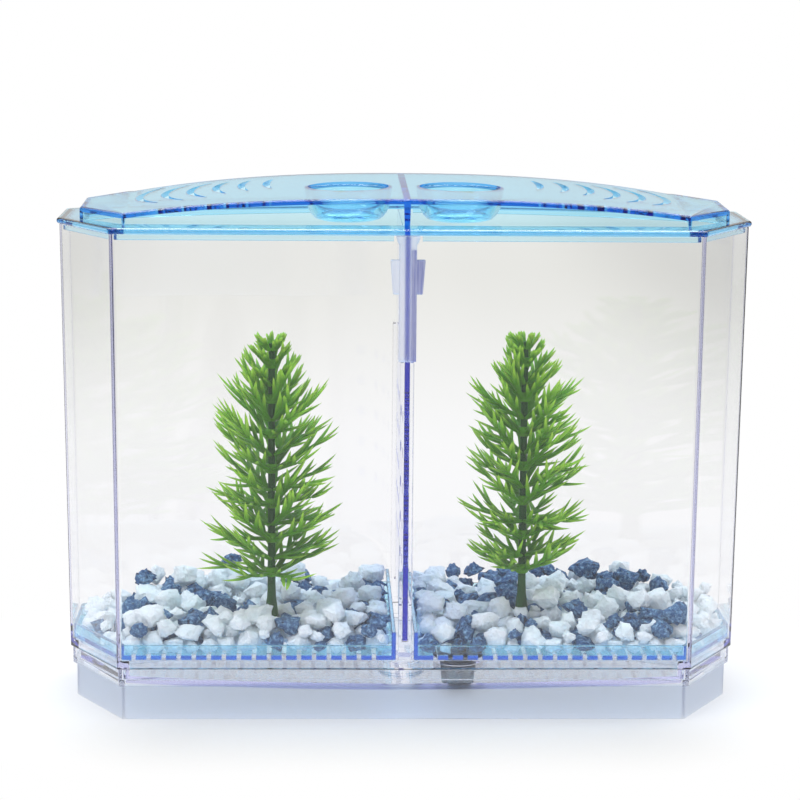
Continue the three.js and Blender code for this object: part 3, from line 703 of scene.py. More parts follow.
# Solids in millimetres
def solid(points, faces, name="working"):
    mesh = bpy.data.meshes.new(name)
    mesh.from_pydata([tuple(p) for p in points], [], faces)
    mesh.update()
    obj = bpy.data.objects.new(name, mesh)
    bpy.context.scene.collection.objects.link(obj)
    return obj


def loft(levels):
    """Closed solid through stacked outlines, given as pairs of height and points."""
    count = len(levels[0][1])
    points = [(x, y, z) for z, ring in levels for x, y in ring]
    faces = []
    for level in range(len(levels) - 1):
        for i in range(count):
            a, b = level * count + i, level * count + (i + 1) % count
            faces.append((a, b, b + count, a + count))
    last = (len(levels) - 1) * count
    faces.append(tuple(reversed(range(count))))
    faces.append(tuple(range(last, last + count)))
    return solid(points, faces)


def prism(plan, inset, bottom, top):
    ring = outline(plan, inset)
    return loft([(bottom, ring), (top, ring)])


def box(x0, x1, y0, y1, z0, z1):
    return loft([(z, [(x0, y0), (x1, y0), (x1, y1), (x0, y1)]) for z in (z0, z1)])


def profile_run(points, y0, y1):
    """An XZ profile, counter-clockwise seen from the front, run backwards along Y."""
    count = len(points)
    rings = [(x, y, z) for y in (y0, y1) for x, z in points]
    faces = [(i, (i + 1) % count, (i + 1) % count + count, i + count) for i in range(count)]
    faces.append(tuple(reversed(range(count))))
    faces.append(tuple(range(count, 2 * count)))
    return solid(rings, [tuple(reversed(face)) for face in faces])


def turned(profile, x, y, sides=64):
    """Solid of revolution about a vertical axis, from a profile of radius and height."""
    angles = [2 * math.pi * i / sides for i in range(sides)]
    return loft([
        (z, [(x + radius * math.cos(angle), y + radius * math.sin(angle)) for angle in angles])
        for radius, z in profile])


def quarter_round(steps):
    """The two sides of a quarter circle as shares of its radius, both from 0 to 1."""
    angles = [math.pi / 2 * step / steps for step in range(steps + 1)]
    return [(math.sin(angle), 1 - math.cos(angle)) for angle in angles]


def bake(obj):
    """Turns an object's modifiers into its mesh."""
    graph = bpy.context.evaluated_depsgraph_get()
    mesh = bpy.data.meshes.new_from_object(obj.evaluated_get(graph), depsgraph=graph)
    obj.modifiers.clear()
    old, obj.data = obj.data, mesh
    bpy.data.meshes.remove(old)
    return obj


def combined(target, operation, *tools):
    """Exact boolean of a target with one or more tools, which are used up."""
    for tool in tools:
        modifier = target.modifiers.new("shape", "BOOLEAN")
        modifier.operation = operation
        modifier.solver = "EXACT"
        modifier.object = tool
        bake(target)
        bpy.data.objects.remove(tool)
    return target


def gathered(objects):
    """One object that holds the meshes of several separate solids."""
    points, faces = [], []
    for obj in objects:
        start = len(points)
        points.extend(tuple(v.co) for v in obj.data.vertices)
        faces.extend(tuple(start + i for i in f.vertices) for f in obj.data.polygons)
        bpy.data.objects.remove(obj)
    return solid(points, faces)


def softened(obj, radius=None, segments=3):
    """Rounds the sharp edges of a simple solid before it is joined or cut."""
    modifier = obj.modifiers.new("edges", "BEVEL")
    modifier.width = radius or bpy.context.scene.tank.edge
    modifier.segments = segments
    modifier.limit_method = "ANGLE"
    modifier.angle_limit = math.radians(40)
    modifier.use_clamp_overlap = False
    return bake(obj)


def finished(obj, name, body, finish, replaces=(), angle=30.0):
    """Brings a solid to metres, smooths its shading and gives it its finish and its place on a body."""
    obj.data.transform(Matrix.Translation((0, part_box("lid")[0].y, 0)) @ Matrix.Scale(MM, 4))
    obj.name = obj.data.name = name
    obj.data.materials.clear()
    obj.data.materials.append(material_for(finish))
    obj.data.polygons.foreach_set("use_smooth", [True] * len(obj.data.polygons))
    obj.data.set_sharp_from_angle(angle=math.radians(angle))
    modifier = obj.modifiers.new("normals", "WEIGHTED_NORMAL")
    modifier.keep_sharp = True
    bake(obj)
    obj.data.name = name
    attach(obj, body)
    if replaces:
        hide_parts(*replaces)


# Stand
def stand_solid():
    collar = softened(prism(PLAN, COLLAR_INSET, COLLAR_BOTTOM, TANK_BASE))
    skirt = softened(prism(PLAN, SKIRT_INSET, 0, COLLAR_BOTTOM + WALL))
    bore = prism(PLAN, COLLAR_INSET + WALL, COLLAR_BOTTOM + WALL, TANK_BASE + OVER)
    lower = prism(PLAN, SKIRT_INSET + WALL, -OVER, TANK_BASE)
    return combined(combined(collar, "UNION", skirt), "DIFFERENCE", bore, lower)


# Tank
def above_floor(drop):
    points = [(HALF, TANK_TOP), (-HALF, TANK_TOP)]
    for step in range(FLOOR["steps"] + 1):
        x = HALF * (2 * step / FLOOR["steps"] - 1)
        points.append((x, floor_height(x) - drop))
    return profile_run(points, -OVER, DEPTH + OVER)


def guide_rails():
    """Front and back rails for the divider, with the stop that it stands on."""
    front = wall_inset(LEDGE_TOP) + WALL + RAIL["reach"]
    near, far = RAIL["slot"] / 2, RAIL["slot"] / 2 + RAIL["thickness"]
    ribs = []
    for y0, y1 in ((-OVER, front), (DEPTH - front, DEPTH + OVER)):
        rail = softened(box(-far, far, y0, y1, TANK_BASE, RAIL["top"]))
        slot = box(-near, near, -2 * OVER, DEPTH + 2 * OVER, RAIL["stop"], TANK_TOP)
        ribs.append(combined(rail, "DIFFERENCE", slot))
    return gathered(ribs)


def well_solid(radius, bottom, top):
    """Round cup with a rounded foot, from the radius of its flat underside."""
    wall = WELL["wall"]
    curve = [(radius + wall * out, bottom + wall * up) for out, up in quarter_round(WELL["steps"])]
    return turned([*curve, (radius + wall, top)], WELL["x"], WELL["y"])


def well_cup():
    return well_solid(WELL["radius"], FLOOR["middle"] - WELL["depth"], FLOOR["middle"])


def well_bore():
    bottom = FLOOR["middle"] - WELL["depth"] + WELL["base"]
    return well_solid(WELL["radius"] - WELL["wall"], bottom, TANK_BASE)


def drain_seat():
    return floor_height(DRAIN["x"]) + DRAIN["rise"]


def drain_boss():
    bottom = floor_height(DRAIN["x"]) - FLOOR["thickness"] - DRAIN["drop"]
    outer = DRAIN["radius"] + DRAIN["boss"]
    return turned([(outer, bottom), (outer, drain_seat())], DRAIN["x"], DRAIN["y"])


def tank_solid():
    base, top = outline(PLAN, BASE_INSET), outline(PLAN, TOP_INSET)
    shell = softened(loft([(TANK_BASE, base), (TANK_TOP, top)]))
    rails = combined(guide_rails(), "INTERSECT", loft([(TANK_BASE, base), (TANK_TOP, top)]))
    past = TANK_TOP + OVER
    cavity = loft([(z, outline(PLAN, wall_inset(z) + WALL)) for z in (LEDGE_TOP, past)])
    pan = prism(PLAN, PAN_INSET, 0, TANK_BASE + SLIDE_GAP)
    combined(pan, "INTERSECT", above_floor(FLOOR["thickness"]))
    pan_bore = prism(PLAN, PAN_INSET + WALL, 0, LEDGE_TOP + SLIDE_GAP)
    combined(pan_bore, "INTERSECT", above_floor(0))
    tank = combined(shell, "UNION", pan)
    combined(tank, "DIFFERENCE", cavity, pan_bore)
    combined(tank, "UNION", rails, well_cup(), drain_boss())
    drain = turned([(DRAIN["radius"], 0), (DRAIN["radius"], TANK_BASE)], DRAIN["x"], DRAIN["y"])
    return combined(tank, "DIFFERENCE", well_bore(), drain)


def plug_solid():
    """Rubber plug with a rounded flange, a dished top and a tapered body."""
    seat, bottom, top = drain_seat(), PLUG_LOW.z, PLUG_HIGH.z
    neck = DRAIN["radius"] - PLUG["gap"]
    end = neck - PLUG["taper"]
    rim = PLUG_HIGH.x - DRAIN["x"]
    profile = [
        (end, bottom), (end + PLUG["nose"], bottom + PLUG["nose"]), (neck, seat),
        (rim - PLUG["edge"], seat), (rim, seat + PLUG["edge"]),
    ]
    profile += [
        (rim - PLUG["crown"] * inward, top - PLUG["crown_height"] * (1 - up))
        for up, inward in quarter_round(QUARTER_STEPS)]
    profile += [(radius, top - drop) for radius, drop in PLUG_DISH]
    return turned(profile, DRAIN["x"], DRAIN["y"], FINE_SIDES)


# Divider
def panel_edge(z):
    return wall_inset(z) + WALL + SLIDE_GAP


def divider_panel():
    """The panel with its rows of water holes."""
    bottom, top = PANEL_LOW.z, PANEL_HIGH.z
    half = PANEL / 2
    low, high = panel_edge(bottom), panel_edge(top)
    panel = softened(loft([
        (z, [(-half, y), (half, y), (half, DEPTH - y), (-half, DEPTH - y)])
        for z, y in ((bottom, low), (top, high))]), PANEL_EDGE)
    first, last = bottom + HOLES["bottom"], top - HOLES["top"]
    pins = []
    for column in range(HOLES["columns"]):
        y = low + HOLES["side"] + (DEPTH - 2 * (low + HOLES["side"])) * column / (HOLES["columns"] - 1)
        for row in range(HOLES["rows"]):
            pin = turned([(HOLES["radius"], -OVER), (HOLES["radius"], OVER)], 0, 0, PIN_SIDES)
            place = Vector((0, y, first + (last - first) * row / (HOLES["rows"] - 1)))
            pin.data.transform(Matrix.Translation(place) @ Matrix.Rotation(math.pi / 2, 4, "Y"))
            pins.append(pin)
    return combined(panel, "DIFFERENCE", gathered(pins))


def along_wall(obj):
    """Leans a solid whose front is at y = 0 along the inside of the tank's drafted front wall."""
    for vertex in obj.data.vertices:
        vertex.co.y += panel_edge(vertex.co.z)
    return obj


def front_stile():
    """The upright at the divider's front, with a round thumb head."""
    top = PANEL_HIGH.z - STILE["drop"]
    bottom = RAIL["top"] + SEAT_GAP
    neck_angle = math.acos(STILE["half"] / STILE["head"])
    right = [(STILE["half"], bottom)]
    for step in range(STILE["steps"] + 1):
        angle = neck_angle * (1 - step / STILE["steps"])
        right.append((STILE["head"] * math.cos(angle), top - STILE["head"] * math.sin(angle)))
    profile = [*right, *[(-x, z) for x, z in reversed(right)]]
    return along_wall(profile_run(profile, -STILE["cover"], STILE["depth"]))


def side_lug(side):
    top = PANEL_HIGH.z - LUG["drop"]
    bottom = top - LUG["height"]
    points = [(0, bottom), (LUG["reach"] - LUG["taper"], bottom), (LUG["reach"], top), (0, top)]
    placed = [(side * x, z) for x, z in points]
    if side < 0:
        placed.reverse()
    return along_wall(profile_run(placed, SLIDE_GAP, SLIDE_GAP + LUG["depth"]))


def divider_solid():
    """The panel with a notch for the stile that stands along its front edge."""
    notch = along_wall(box(-HALF, HALF, -2 * OVER, STILE["depth"] + STILE["joint"], RAIL["top"], LID_PEAK))
    return combined(divider_panel(), "DIFFERENCE", notch)


def stile_solid():
    lugs = [softened(side_lug(side)) for side in (1, -1)]
    return combined(softened(front_stile(), STILE["edge"]), "UNION", *lugs)


# Lid
def under_arch(drop):
    """Everything under the arched lid top, which also rises a little to the back."""
    points = [(-HALF, 0), (HALF, 0), (HALF, ARCH["edge"] - drop)]
    for step in range(ARCH["steps"] + 1):
        across = 1 - 2 * step / ARCH["steps"]
        height = ARCH["edge"] + ARCH["rise"] * (1 - abs(across) ** ARCH["power"])
        points.append((TIER["front_half"] * across, height - drop))
    points.append((-HALF, ARCH["edge"] - drop))
    body = profile_run(points, -OVER, DEPTH + OVER)
    for vertex in body.data.vertices:
        vertex.co.z += ARCH["slope"] * (vertex.co.y - TIER["front"])
    return body


def vent_cutter(number, side):
    """Crescent through the tier, the first one nearest to the lid's end."""
    apex = TIER["half"] - VENT["side"] - VENT["pitch"] * number
    half_length = VENT["length"] * VENT_LENGTH_SHARES[number] / 2
    middle = TIER["back_corner"] - VENT["back"] - half_length
    outer, inner = [], []
    for step in range(VENT["steps"] + 1):
        along = 2 * step / VENT["steps"] - 1
        x = apex - VENT["arc"] + math.sqrt(VENT["arc"] ** 2 - (along * half_length) ** 2)
        width = VENT["tip"] + (VENT["middle"] - VENT["tip"]) * (1 - along * along)
        outer.append((side * x, middle + along * half_length))
        inner.append((side * (x - width), middle + along * half_length))
    points = [*outer, *reversed(inner)]
    if side < 0:
        points.reverse()
    return loft([(FLANGE_TOP, points), (LID_PEAK, points)])


def funnel_solid(side, wall, outlet):
    """Dished funnel from its outlet up to the rim, moved outwards by the wall."""
    rim = ARCH["edge"] + ARCH["rise"]
    profile = [(FUNNEL["bottom"] + wall, outlet)] if outlet < TANK_TOP else []
    for step in range(FUNNEL["steps"] + 1):
        share = step / FUNNEL["steps"]
        swell = math.sqrt(1 - (1 - share) ** 2)
        radius = FUNNEL["bottom"] + (FUNNEL["top"] - FUNNEL["bottom"]) * swell
        profile.append((radius + wall, TANK_TOP + (rim - TANK_TOP) * share))
    if not wall:
        flare = FUNNEL["flare"]
        curve = quarter_round(QUARTER_STEPS)
        profile += [(FUNNEL["top"] + flare * out, rim + flare * up) for up, out in curve]
    profile.append((profile[-1][0], LID_PEAK))
    return turned(profile, side * FUNNEL["x"], FUNNEL["y"], FINE_SIDES)


def lid_lip():
    """The lip under the lid that fits inside the rim, open where the divider passes."""
    inset = TOP_INSET + WALL + SLIDE_GAP
    bottom = TANK_TOP - LIP["drop"]
    ring = softened(prism(PLAN, inset, bottom, FLANGE_TOP))
    inner = prism(PLAN, inset + LIP["thickness"], bottom - OVER, FLANGE_TOP + OVER)
    notch = box(-LIP["notch"], LIP["notch"], -OVER, DEPTH + OVER, bottom - OVER, TANK_TOP)
    return combined(ring, "DIFFERENCE", inner, notch)


def lid_solid():
    tier = combined(prism(TIER, 0, TANK_TOP, LID_PEAK), "INTERSECT", under_arch(0))
    softened(tier, LID_EDGES["tier"], LID_EDGES["tier_steps"])
    hollow = combined(prism(TIER, LID_WALL, TANK_TOP - OVER, LID_PEAK), "INTERSECT", under_arch(LID_TOP))
    rib_points = [(-LID_RIB["bottom"], TANK_TOP), (LID_RIB["bottom"], TANK_TOP),
                  (LID_RIB["top"], LID_PEAK), (-LID_RIB["top"], LID_PEAK)]
    rib = profile_run(rib_points, TIER["front"] + LID_WALL / 2, TIER["depth"] - LID_WALL / 2)
    combined(rib, "INTERSECT", under_arch(LID_TOP / 2))
    lid = softened(prism(PLAN, 0, TANK_TOP, FLANGE_TOP), LID_EDGES["flange"], LID_EDGES["flange_steps"])
    combined(lid, "UNION", tier)
    combined(lid, "DIFFERENCE", hollow)
    combined(lid, "UNION", lid_lip(), rib)
    for side in (-1, 1):
        funnel = combined(funnel_solid(side, FUNNEL["wall"], TANK_TOP), "INTERSECT", under_arch(0))
        combined(lid, "UNION", funnel)
    for side in (-1, 1):
        combined(lid, "DIFFERENCE", funnel_solid(side, 0, TANK_BASE))
        cutters = [vent_cutter(number, side) for number in range(len(VENT_LENGTH_SHARES))]
        combined(lid, "DIFFERENCE", gathered(cutters))
    return lid


# Trays
def side_block(side, nearest, bottom, top):
    """Everything on one side of the divider, from a distance outwards."""
    x0, x1 = sorted((side * nearest, side * (HALF + OVER)))
    return box(x0, x1, -OVER, DEPTH + OVER, bottom, top)


def tray_inset():
    return wall_inset(LEDGE_TOP) + WALL + SLIDE_GAP


def slot_cutters(side):
    """Rows of slots in the tray's floor, which run out through the foot of its front wall."""
    inset = tray_inset()
    field_inset = inset + TRAY["wall"] + SLOT["margin"]
    low, high = TRAY_LOW.z - OVER, TRAY_FLOOR + OVER
    length = (DEPTH - 2 * inset + SLOT["bar"]) / SLOT["rows"]
    cuts = []
    for i in range(int((HALF - field_inset - SLOT["first"]) / SLOT["pitch"])):
        x = side * (SLOT["first"] + SLOT["pitch"] * i)
        for row in range(SLOT["rows"]):
            y0 = inset + length * row if row else 0
            y1 = inset + length * (row + 1) - SLOT["bar"]
            cuts.append(box(x - SLOT["width"] / 2, x + SLOT["width"] / 2, y0, y1, low, high))
    field = prism(PLAN, field_inset, low - OVER, high + OVER)
    front = PLAN["front_half"] - inset
    strip = box(-front, front, -OVER, field_inset + OVER, low - OVER, TRAY_LOW.z + SLOT["rise"])
    return combined(gathered(cuts), "INTERSECT", combined(field, "UNION", strip))


def tray_solid(side):
    """Tray with a low wall all round, a taller fence beside the divider and a slotted floor."""
    inset = tray_inset()
    top = TRAY_LOW.z + TRAY["height"]

    def outer_side():
        return side_block(side, TRAY["face"], 0, TANK_TOP)

    def inner_side():
        return side_block(side, TRAY["face"] + TRAY["wall"], 0, TANK_TOP)

    body = softened(combined(prism(PLAN, inset, TRAY_LOW.z, top), "INTERSECT", outer_side()))
    room = prism(PLAN, inset + TRAY["wall"], TRAY_FLOOR, TRAY_HIGH.z + OVER)
    combined(room, "INTERSECT", inner_side())
    fence = combined(prism(PLAN, inset, TRAY_LOW.z, TRAY_HIGH.z), "INTERSECT", outer_side())
    softened(combined(fence, "DIFFERENCE", inner_side()))
    combined(body, "DIFFERENCE", room)
    combined(body, "UNION", fence)
    return combined(body, "DIFFERENCE", slot_cutters(side))


# Gravel
def stone_mesh(kind, seed):
    """Unit stone: an angular lump with crystal-like bumps, or a porous one for the blue stones."""
    draw = random.Random(seed)
    mesh = bmesh.new()
    for _ in range(STONE["corners"]):
        direction = Vector((draw.gauss(0, 1), draw.gauss(0, 1), draw.gauss(0, 1))).normalized()
        mesh.verts.new(direction * draw.uniform(STONE["least"], STONE["most"]))
    hull = bmesh.ops.convex_hull(mesh, input=mesh.verts)
    buried = [part for part in hull["geom_interior"] if isinstance(part, bmesh.types.BMVert)]
    bmesh.ops.delete(mesh, geom=buried, context="VERTS")
    bmesh.ops.subdivide_edges(mesh, edges=mesh.edges, cuts=STONE["cuts"], use_grid_fill=True)
    bmesh.ops.triangulate(mesh, faces=mesh.faces)
    surface = STONE_SURFACE[kind]
    shift = Vector((*(seed * part for part in STONE["shift"]), 0))
    for vertex in mesh.verts:
        crystal = noise.voronoi(vertex.co * surface["cells"] + shift)[0][0]
        grain = noise.noise(vertex.co * STONE["grain"] + shift)
        vertex.co *= STONE["swell"] - surface["relief"] * crystal + surface["pits"] * grain
    points = np.array([v.co for v in mesh.verts])
    faces = [tuple(v.index for v in f.verts) for f in mesh.faces]
    mesh.free()
    return points / np.abs(points).max(), faces


def tray_walls(inset):
    """A point and an inward direction for each straight stretch of an outline."""
    ring = np.array(outline(PLAN, inset))
    edges = np.roll(ring, -1, axis=0) - ring
    lengths = np.linalg.norm(edges, axis=1)
    keep = lengths > 0
    return ring[keep], np.column_stack((-edges[keep, 1], edges[keep, 0])) / lengths[keep, None]


def push_apart(centre, radius):
    """Moves overlapping stones away from each other."""
    gap = centre[:, None, :] - centre[None, :, :]
    gap[:, :, 2] *= SETTLING["flatten"]
    distance = np.linalg.norm(gap, axis=2) + np.eye(len(radius)) * SETTLING["far"]
    overlap = (radius[:, None] + radius[None, :]) * SETTLING["touch"] - distance
    push = np.where(overlap > 0, overlap, 0) * SETTLING["push"] / distance
    centre += (gap * push[:, :, None]).sum(axis=1) * SETTLING["ease"]


def keep_inside(centre, radius, low_x, walls):
    """Moves stones up from the tray's floor and in from its walls."""
    starts, inwards = walls
    centre[:, 2] = np.maximum(centre[:, 2], radius * SETTLING["floor"])
    centre[:, 0] = np.maximum(centre[:, 0], low_x + radius * SETTLING["wall"])
    inside = (centre[:, None, 0] - starts[None, :, 0]) * inwards[None, :, 0]
    inside += (centre[:, None, 1] - starts[None, :, 1]) * inwards[None, :, 1]
    short = radius * SETTLING["wall"] - inside.min(axis=1)
    outside = short > 0
    nearest = inside.argmin(axis=1)[outside]
    centre[outside, :2] += inwards[nearest] * short[outside, None]


def keep_off_stem(centre, radius, stem):
    """Moves stones away from the plant's stem."""
    from_stem = centre[:, :2] - stem
    reach = np.linalg.norm(from_stem, axis=1)
    short = radius * SETTLING["touch"] + SETTLING["stem"] - reach
    near = short > 0
    centre[near, :2] += from_stem[near] / reach[near, None] * short[near, None]


def settled_stones(side, stem, seed):
    """Centres and radii of stones that were let sink and push each other apart in a tray."""
    settings = bpy.context.scene.gravel
    draw = random.Random(seed)
    inset = tray_inset() + TRAY["wall"] + SLIDE_GAP
    low_x = TRAY["face"] + TRAY["wall"] + SLIDE_GAP
    span = settings.largest - settings.smallest
    radius = np.array([settings.smallest + span * draw.random() ** 2.0 for _ in range(settings.count)])
    room = ((low_x, HALF - inset), (inset, DEPTH - inset), (0, SETTLING["drop"]))
    centre = np.array([[draw.uniform(*reach) for reach in room] for _ in range(settings.count)])
    walls = tray_walls(inset)
    foot = np.array((abs(stem[0]), stem[1]))
    for _ in range(SETTLING["rounds"]):
        centre[:, 2] -= SETTLING["sink"]
        push_apart(centre, radius)
        keep_inside(centre, radius, low_x, walls)
        keep_off_stem(centre, radius, foot)
    centre[:, 0] *= side
    centre[:, 2] += TRAY_FLOOR + SEAT_GAP
    return centre, radius


def laid_stone(draw, shape, place, size):
    """Points of a unit stone that was spun, stretched, tilted and set in its place."""
    turn = Matrix.Rotation(draw.uniform(0, math.tau), 3, "Z")
    turn @= Matrix.Rotation(draw.uniform(-STONE_FORM["tilt"], STONE_FORM["tilt"]), 3, "X")
    spin = np.array(Matrix.Rotation(draw.uniform(0, math.tau), 3, "Z"))
    stretch = np.array([draw.uniform(*STONE_FORM[axis]) for axis in ("width", "depth", "height")])
    return (shape @ spin.T * stretch * size * STONE_FORM["scale"]) @ np.array(turn).T + place


def gravel_bed(name, side):
    """Loose stones of one tray, as one white and one blue piece."""
    seed = SEEDS[name]["gravel"]
    draw = random.Random(seed)
    centre, radius = settled_stones(side, stem_place(name), seed)
    kinds = {kind: [stone_mesh(kind, number) for number in range(STONE["shapes"])] for kind in STONE_SURFACE}
    piles = {kind: ([], []) for kind in kinds}
    blue_share = bpy.context.scene.gravel.blue_share + (PATCH["more_on_right"] if side > 0 else 0.0)
    for place, size in zip(centre, radius):
        if place[0] < -LOW_END["start"] and place[2] > LOW_END["level"]:
            continue
        patch = noise.noise(Vector((place[0] / PATCH["size"], place[1] / PATCH["size"], seed)))
        kind = "blue" if draw.random() < blue_share + patch * PATCH["strength"] else "white"
        shape, faces = kinds[kind][draw.randrange(STONE["shapes"])]
        pile_points, pile_faces = piles[kind]
        start = len(pile_points)
        pile_points.extend(laid_stone(draw, shape, place, size))
        pile_faces.extend(tuple(start + i for i in face) for face in faces)
    node = f"gravel_{name}"
    lowest = node_box(node)[0].z
    for kind, (points, faces) in piles.items():
        pile = solid([(x, y, max(z, lowest)) for x, y, z in points], faces)
        replaced = (node,) if kind == "white" else ()
        finished(pile, f"{node}_{kind}", f"tray_{name}", f"{kind}_stone", replaced, angle=60)


# Plants
def stem_place(name):
    """Where a plant's stem stands, as x and y."""
    low, high = node_box(f"plant_{name}_stem")
    return (low.x + high.x) / 2, (low.y + high.y) / 2


def tube(points, form):
    """Points, faces and tip values of a tapered tube that ends in its last point."""
    sides, tips = form["sides"], form["tips"]
    made, faces, tip_values = [], [], []
    for level, (point, radius) in enumerate(zip(points[:-1], form["radii"])):
        ahead = (points[level + 1] - points[max(level - 1, 0)]).normalized()
        across = ahead.cross(Vector((0, 0, 1)))
        across = across.normalized() if across.length > UPRIGHT else Vector((1, 0, 0))
        above = across.cross(ahead) * form["flat"]
        for i in range(sides):
            angle = math.tau * i / sides
            made.append(point + across * (radius * math.cos(angle)) + above * (radius * math.sin(angle)))
            tip_values.append(tips[level])
    made.append(points[-1])
    tip_values.append(tips[-1])
    levels = len(points) - 1
    faces.append(tuple(reversed(range(sides))))
    for level in range(levels - 1):
        for i in range(sides):
            a, b = level * sides + i, level * sides + (i + 1) % sides
            faces.append((a, b, b + sides, a + sides))
    last = (levels - 1) * sides
    faces.extend((last + i, last + (i + 1) % sides, levels * sides) for i in range(sides))
    return made, faces, tip_values


class Growth:
    """Collects the tubes of one piece."""

    def __init__(self):
        self.points, self.faces, self.tips = [], [], []

    def add(self, points, form):
        made, faces, tips = tube(points, form)
        start = len(self.points)
        self.points.extend(made)
        self.faces.extend(tuple(start + i for i in face) for face in faces)
        self.tips.extend(tips)

    def piece(self):
        obj = solid(self.points, self.faces)
        attribute = obj.data.attributes.new("tip", "FLOAT", "POINT")
        attribute.data.foreach_set("value", self.tips)
        return obj


def curved(start, direction, length, lift, steps):
    """Points along a stalk that bends upwards as it grows."""
    points = [start]
    ahead = direction.normalized()
    for _ in range(steps):
        ahead = (ahead + Vector((0, 0, lift / steps))).normalized()
        points.append(points[-1] + ahead * (length / steps))
    return points


def bearing_vector(bearing):
    return Vector((math.cos(bearing), math.sin(bearing), 0))


def upwards(height):
    return Vector((0, 0, height))


def frond(growth, draw, root, bearing, reach, slope):
    """One branch: a flat rib with long tines along both sides and a fork of tines at its end."""
    outward, side = bearing_vector(bearing), Vector((-math.sin(bearing), math.cos(bearing), 0))
    length = reach * math.sqrt(1 + slope * slope)
    lift = draw.uniform(*RIB["lift"])
    rib = curved(root, outward + upwards(slope), length * RIB["length"], lift, RIB["steps"])
    growth.add(rib, RIB)
    for number in range(TINE["count"]):
        place = (TINE["first"] + TINE["pitch"] * number) * RIB["steps"]
        at = rib[int(place)].lerp(rib[int(place) + 1], place % 1)
        spread = draw.uniform(*TINE["spread"]) * (1 if number % 2 else -1)
        out = outward + side * spread + upwards(slope + draw.uniform(*TINE["rise"]))
        size = max(TINE["shortest"], length * draw.uniform(*TINE["length"]))
        growth.add(curved(at, out, size, draw.uniform(*TINE["lift"]), TINE["steps"]), TINE)
    ahead = (rib[-1] - rib[-2]).normalized()
    for turn in FORK["turns"]:
        out = ahead + side * (turn + draw.uniform(*FORK["stray"])) + upwards(draw.uniform(*FORK["rise"]))
        size = max(FORK["shortest"], length * draw.uniform(*FORK["length"]))
        growth.add(curved(rib[-1] - ahead * FORK["overlap"], out, size, FORK["lift"], FORK["steps"]), FORK)


def leaf_tier(name, number, tiers):
    """Leaves of one tier: a hub on the stem with whorls of fronds, inside the tier's height."""
    low, high = node_box(f"plant_{name}_tier_{number + 1}")
    stem_top = node_box(f"plant_{name}_stem")[1].z
    middle = Vector((*stem_place(name), 0))
    branches = bpy.context.scene.plants.branches
    widest = (high.x - low.x + high.y - low.y) / 4 * CROWN["swell"]
    steepness = WHORL["slope"] + WHORL["rise"] * (number / (tiers - 1)) ** WHORL["power"]
    draw = random.Random(SEEDS[name]["leaves"] + number)
    growth = Growth()
    growth.add([middle + upwards(low.z + height) for height in HUB["heights"]], HUB)
    for whorl in range(WHORL["count"]):
        height = low.z + WHORL["first"] + whorl * WHORL["pitch"]
        for i in range(branches):
            bearing = math.tau * (i + WHORL["stagger"] * whorl + WHORL["twist"] * number) / branches
            bearing += draw.uniform(*WHORL["stray"])
            facing = math.remainder(bearing + math.pi / 2, math.tau)
            if abs(facing) < CROWN["parting"]:
                bearing += math.copysign(CROWN["parting"], facing) - facing
            slope = steepness + draw.uniform(*WHORL["droop"])
            cone = (CROWN["top"] + CROWN["taper"] * (stem_top - height)) / (1 + CROWN["taper"] * slope)
            length = min(widest, max(cone, CROWN["shortest"])) * draw.uniform(*CROWN["vary"])
            root = middle + bearing_vector(bearing) * HUB["surface"] + upwards(height)
            frond(growth, draw, root, bearing, length, slope)
    return growth.piece()


def stem_piece(name):
    """Thin stem with a flared foot."""
    low, high = node_box(f"plant_{name}_stem")
    x, y = stem_place(name)
    profile = [((high.x - x) * share, low.z + height) for share, height in STEM_FOOT]
    profile += [(radius, low.z + height) for radius, height in STEM_STALK]
    profile += [(radius, high.z - drop) for radius, drop in STEM_TOP]
    return turned(profile, x, y, STEM_SIDES)


# Stage
def rays(tree):
    """1 for rays from the camera, for rays through plastic and for mirrored rays."""
    path = tree.add("ShaderNodeLightPath")
    camera = Value(tree, path.outputs["Is Camera Ray"])
    through = Value(tree, path.outputs["Is Transmission Ray"])
    mirrored = Value(tree, path.outputs["Is Glossy Ray"]) * (1 - through)
    return camera, through, mirrored


def floor_glow(tree, camera, through, mirrored):
    """Colour of the floor for the rays that see it: white, darker towards the back and the sides,
    and with a painted shadow around the object's foot for the camera.
    """
    across, back = tree.axes()[:2]
    ends, far = across.size(), (across * across + back * back) ** 0.5
    behind = far.step(*BACKDROP["starts"]) * (1 - far.step(*BACKDROP["ends"]))
    seen = behind * BACKDROP["depth"] - BACKDROP["lift"] + across * BACKDROP["lean"]
    seen = seen + ends.step(*BACKDROP["side_zone"]) * BACKDROP["side_depth"]
    front = 1 - back.step(*MIRRORED_FLOOR["front_zone"])
    reflected = front.larger(ends.step(*MIRRORED_FLOOR["end_zone"])) * MIRRORED_FLOOR["depth"]
    # Painted shadow around the object's foot, for camera rays only
    beside = (ends - PAINTED_SHADOW["core"] * HALF * MM).larger(0)
    before = (back.size() - DEPTH / 2 * MM).larger(0)
    painted_shadow = camera * (1 - ((beside * beside + before * before) ** 0.5).step(*PAINTED_SHADOW["zone"]))
    warm = tree.blend(through * behind, colour(WHITE), colour(BACKDROP["warm"]))
    shadowed = tree.blend(painted_shadow, warm, colour(PAINTED_SHADOW["tone"]))
    return tree.blend(1 - through * seen - mirrored * reflected, colour(BLACK), shadowed)


